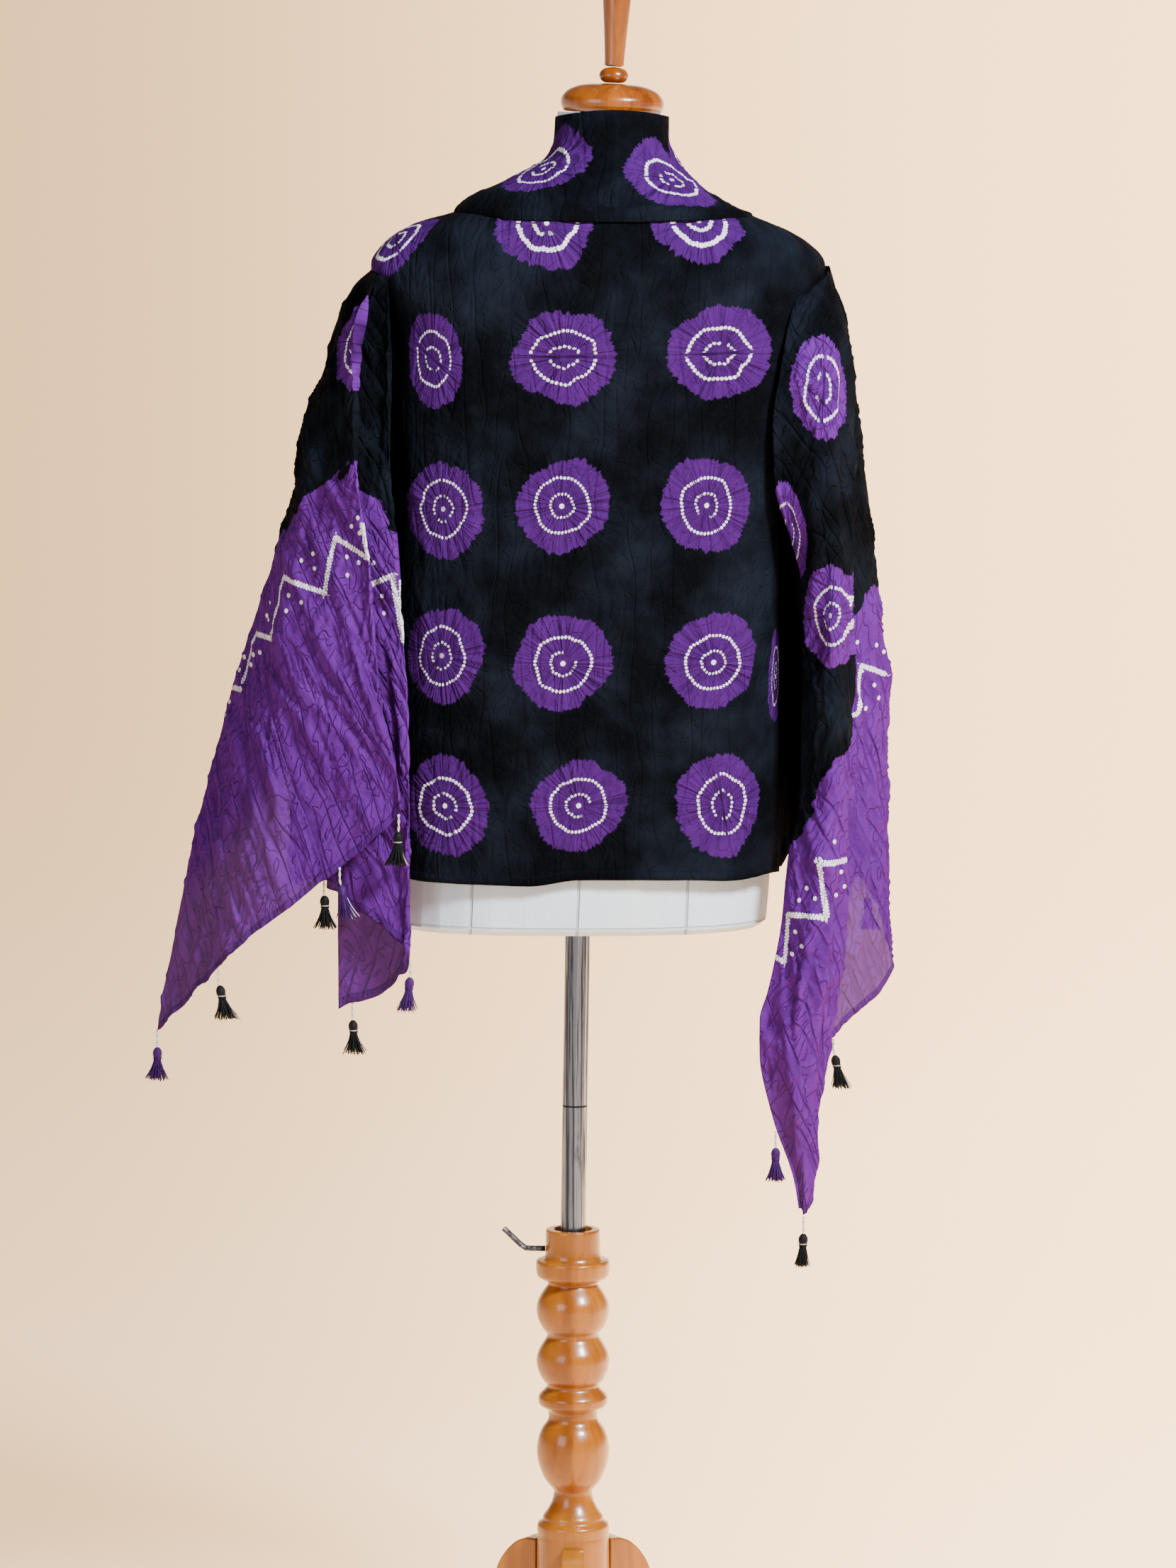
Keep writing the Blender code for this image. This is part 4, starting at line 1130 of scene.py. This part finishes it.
CAP = [(0, 27.6), (14, 27.4), (30, 26), (42, 21), (48.2, 14), (48.6, 8), (46.5, 2.5), (44, 0), (0, 0)]
BALL = [(0, 15), (8, 14.2), (12.6, 11), (14, 7), (12.6, 3), (8.8, 0.2), (0, 0.2)]
HANDLE = [(0, 122.8), (9, 122.2), (14, 117.8), (15.6, 109.8), (15.2, 96.8), (13.6, 66), (11, 34), (9, 4),
          (9.4, 0), (0, 0)]
POST_SCALE = 0.67
POST = [
    (37.5, 475), (38.7, 473.8), (38.7, 446), (50.5, 445.5), (52.6, 443.5), (52.6, 434), (50, 429), (36, 424.5),
    (35, 422), (44, 414), (50.2, 406), (52.3, 398), (50.2, 389), (44, 380), (35, 373), (44, 364), (50.2, 356),
    (52.4, 348), (50.2, 339), (44, 330), (35, 323.5), (48.5, 315), (49.8, 310.5), (48, 305), (35.2, 300.5),
    (34.6, 291), (44, 283), (50, 273), (52.2, 261), (49.8, 248), (41, 233), (29.5, 224), (26.6, 221), (30, 211),
    (36.5, 203), (43, 197.5), (43.5, 193), (50.8, 190), (51.6, 186), (50.8, 179),
]
POST_INSIDE = [(0, 415.7), (15.4, 415.7), (15.4, 475)]
HUB = [(34.6, 177), (34.6, 88), (30.6, 84), (0, 84)]
LEG = [
    (34.9, 172), (46, 172), (57, 168), (68, 158), (77, 145), (83, 128), (90, 106), (102, 84),
    (120, 64), (145, 47), (175, 34), (205, 27), (232, 25), (250, 21), (262, 10), (262, 0), (218, 0),
    (206, 8), (185, 13), (160, 20), (132, 32), (108, 48), (88, 68), (70, 90), (54, 102), (34.9, 106),
]
LEG_HALF = 11.5


def turned_pieces(cap_wood, post_wood):
    for name, node, base, profile in (
        ("turned_cap", "neck_cap", 1530.0, CAP), ("turned_ball", "cap_ball", 1557.9, BALL),
        ("turned_handle", "cap_handle", 1573.2, HANDLE),
    ):
        lathe(name, node, profile, cap_wood, (form_axis_x(base), 0.0, base), FORM_LEAN)
    post = POST_INSIDE + [(r * POST_SCALE, z) for r, z in POST] + HUB
    lathe("turned_post", "post", post, post_wood)
    outline = LEG[:1] + cut_corners(LEG[1:15]) + LEG[15:17] + cut_corners(LEG[17:25]) + LEG[25:]
    for number, azimuth in enumerate((-90.0, 30.0, 150.0), 1):
        c, k = cos(radians(azimuth)), sin(radians(azimuth))
        verts = [
            (reach * c - side * k, reach * k + side * c, height)
            for side in (-LEG_HALF, LEG_HALF) for reach, height in outline
        ]
        count = len(outline)
        faces = [tuple(range(count)), tuple(reversed(range(count, 2 * count)))]
        faces += [(n, q, q + count, n + count) for q, n in ((q, (q + 1) % count) for q in range(count))]
        mesh = solid(f"curved_leg_{number}", verts, faces)
        mesh.materials.append(post_wood)
        made = put(mesh.name, mesh, f"leg_{number}")
        edge = made.modifiers.new("edge", "BEVEL")
        edge.width = 0.0032
        edge.segments = 3
        edge.limit_method = "ANGLE"
        edge.angle_limit = radians(50)
        edge.harden_normals = True


def dress_nodes():
    cap_wood = wood("cap_wood", (0.13, 0.022, 0.001), (0.31, 0.072, 0.003), (0.45, 0.135, 0.010), 0.20, 42.0)
    post_wood = wood("post_wood", (0.23, 0.058, 0.002), (0.40, 0.125, 0.006), (0.52, 0.20, 0.016), 0.22, 30.0)
    turned_pieces(cap_wood, post_wood)
    for node, finish in (("form_body", form_cover()), ("pole", chrome()), ("clamp_lever", steel())):
        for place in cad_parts[node].material_slots:
            place.material = finish


BACK_COLOUR = (1.0, 0.61, 0.29)
SIDE_COLOUR = (1.0, 0.93, 0.86)
SIDE_STRENGTH = 0.8


def wall_glow(net, aside, ahead):
    """The wall's brightness behind the stand, which rises from left to right."""
    return net.step(aside / ahead, -0.11, 0.12, 1.85, 5.0)


FLOOR_Z = -0.0006
FLOOR_RADII = (1.0, 3.0, 8.0, 25.0, 120.0)
FLOOR_TURNS = 64


def backdrop():
    """A wide pale floor that glows as painted light, brighter to the right and towards the back, and as bright far
    from the stand as the studio beyond it.
    """
    turns = range(FLOOR_TURNS)
    angles = [2 * pi * k / FLOOR_TURNS for k in turns]
    verts = [(0.0, 0.0, FLOOR_Z)] + [(r * cos(a), r * sin(a), FLOOR_Z) for r in FLOOR_RADII for a in angles]
    after = {k: (k + 1) % FLOOR_TURNS for k in turns}
    faces = [(0, 1 + k, 1 + after[k]) for k in turns]
    for inner in range(1, len(verts) - FLOOR_TURNS, FLOOR_TURNS):
        outer = inner + FLOOR_TURNS
        faces += [(inner + k, outer + k, outer + after[k], inner + after[k]) for k in turns]
    mesh = bpy.data.meshes.new("floor")
    mesh.from_pydata(verts, [], faces)
    net = new_material("floor_paint_and_glow")
    x, y, _ = net.split(net.place())
    away = net.largest(net.length(x, y), 0.01)
    far = net.step(away, 2.5, 11.0)
    behind = net.step(y / away, 0.70, 0.95)
    wall = wall_glow(net, x - (CAMERA_SIDE + SHIFT[0] * MM), net.largest(y + CAMERA_BACK, 0.5))
    near_glow = wall * net.step(y, -0.9, 0.60, 0.2, 1.0)
    far_glow = net.largest(wall * behind, SIDE_STRENGTH)
    # The floor's glow is painted light: dim in front of the stand, rising towards the back and from left to right
    mesh.materials.append(net.paint(
        Base_Color=net.mix(far, (0.62, 0.50, 0.38), (0.0, 0.0, 0.0)), Roughness=0.9, Specular_IOR_Level=0.0,
        Emission_Color=net.mix(far * (1.0 - behind), BACK_COLOUR, SIDE_COLOUR),
        Emission_Strength=near_glow * (1.0 - far) + far_glow * far))
    add_object("floor", mesh)


def studio():
    """The light all round: a bright wall behind the stand, a pale band at eye level, dimmer above."""
    net = Net(bpy.data.worlds.new("studio"))
    x, y, z = net.split(net.place("Generated"))
    behind = net.step(y, 0.70, 0.95) * net.step(z, 0.40, 0.06)
    wall = wall_glow(net, x, net.largest(y, 0.2)) * behind
    band = net.step(z, 0.16, 0.04, 0.10, SIDE_STRENGTH)
    bpy.context.scene.world = net.paint(
        Color=net.mix(behind, SIDE_COLOUR, BACK_COLOUR), Strength=net.largest(wall, band))


def lamp(name, where, aim, size, power, colour):
    data = bpy.data.lights.new(name, "AREA")
    data.shape = "RECTANGLE"
    data.size, data.size_y = size
    data.energy = power
    data.color = colour
    made = add_object(name, data)
    made.location = where
    away = np.array(where, float) - np.array(aim, float)
    flat = np.hypot(away[0], away[1])
    made.rotation_euler = (atan2(flat, away[2]), 0.0, atan2(away[0], -away[1]))


def light_and_camera():
    lamp("key_light", (2.4, -2.9, 3.9), (0.05, 0, 1.1), (1.0, 1.0), 560, (0.93, 0.96, 1.0))
    lamp("fill_light", (-3.0, -3.6, 2.2), (0.05, 0, 1.1), (2.2, 2.2), 60, (0.84, 0.92, 1.0))
    studio()
    data = bpy.data.cameras.new("camera")
    data.sensor_width = SENSOR
    data.lens = FOCUS_PX / PICTURE_HIGH * SENSOR
    data.clip_end = 60.0
    camera = add_object("camera", data)
    camera.location = (CAMERA_SIDE + SHIFT[0] * MM, -CAMERA_BACK + SHIFT[1] * MM, CAMERA_HIGH)
    camera.rotation_euler = (pi / 2 - CAMERA_PITCH, 0.0, 0.0)
    bpy.context.scene.camera = camera


def build():
    dress_nodes()
    # The second number is how lit each copy's purple is painted: the body copy's purple is darkened halfway to painted
    # shade, the wings' a little
    voiles = {
        "body": cotton("stole_cotton", 0.5, 0.5, 0.04), "wing": cotton("stole_cotton_wing", 1.0, 0.92, 0.48),
        "sheer": cotton("stole_cotton_hem", 1.0, 0.92, 0.48, True),
    }
    threads = {
        "purple": fibre("tassel_purple", (0.022, 0.003, 0.055), (0.075, 0.010, 0.16)),
        "black": fibre("tassel_black", (0.0015, 0.0015, 0.002), (0.006, 0.006, 0.008)),
        "white": fibre("tassel_white", (0.55, 0.53, 0.52), (0.86, 0.84, 0.82)),
    }
    for seed, (key, spec) in enumerate(STRETCHES.items(), 1):
        cloth = make_cloth(key, seed, voiles)
        fringes = [make_tassel(name, threads) for name in spec.get("hung", ())]
    backdrop()
    light_and_camera()


build()
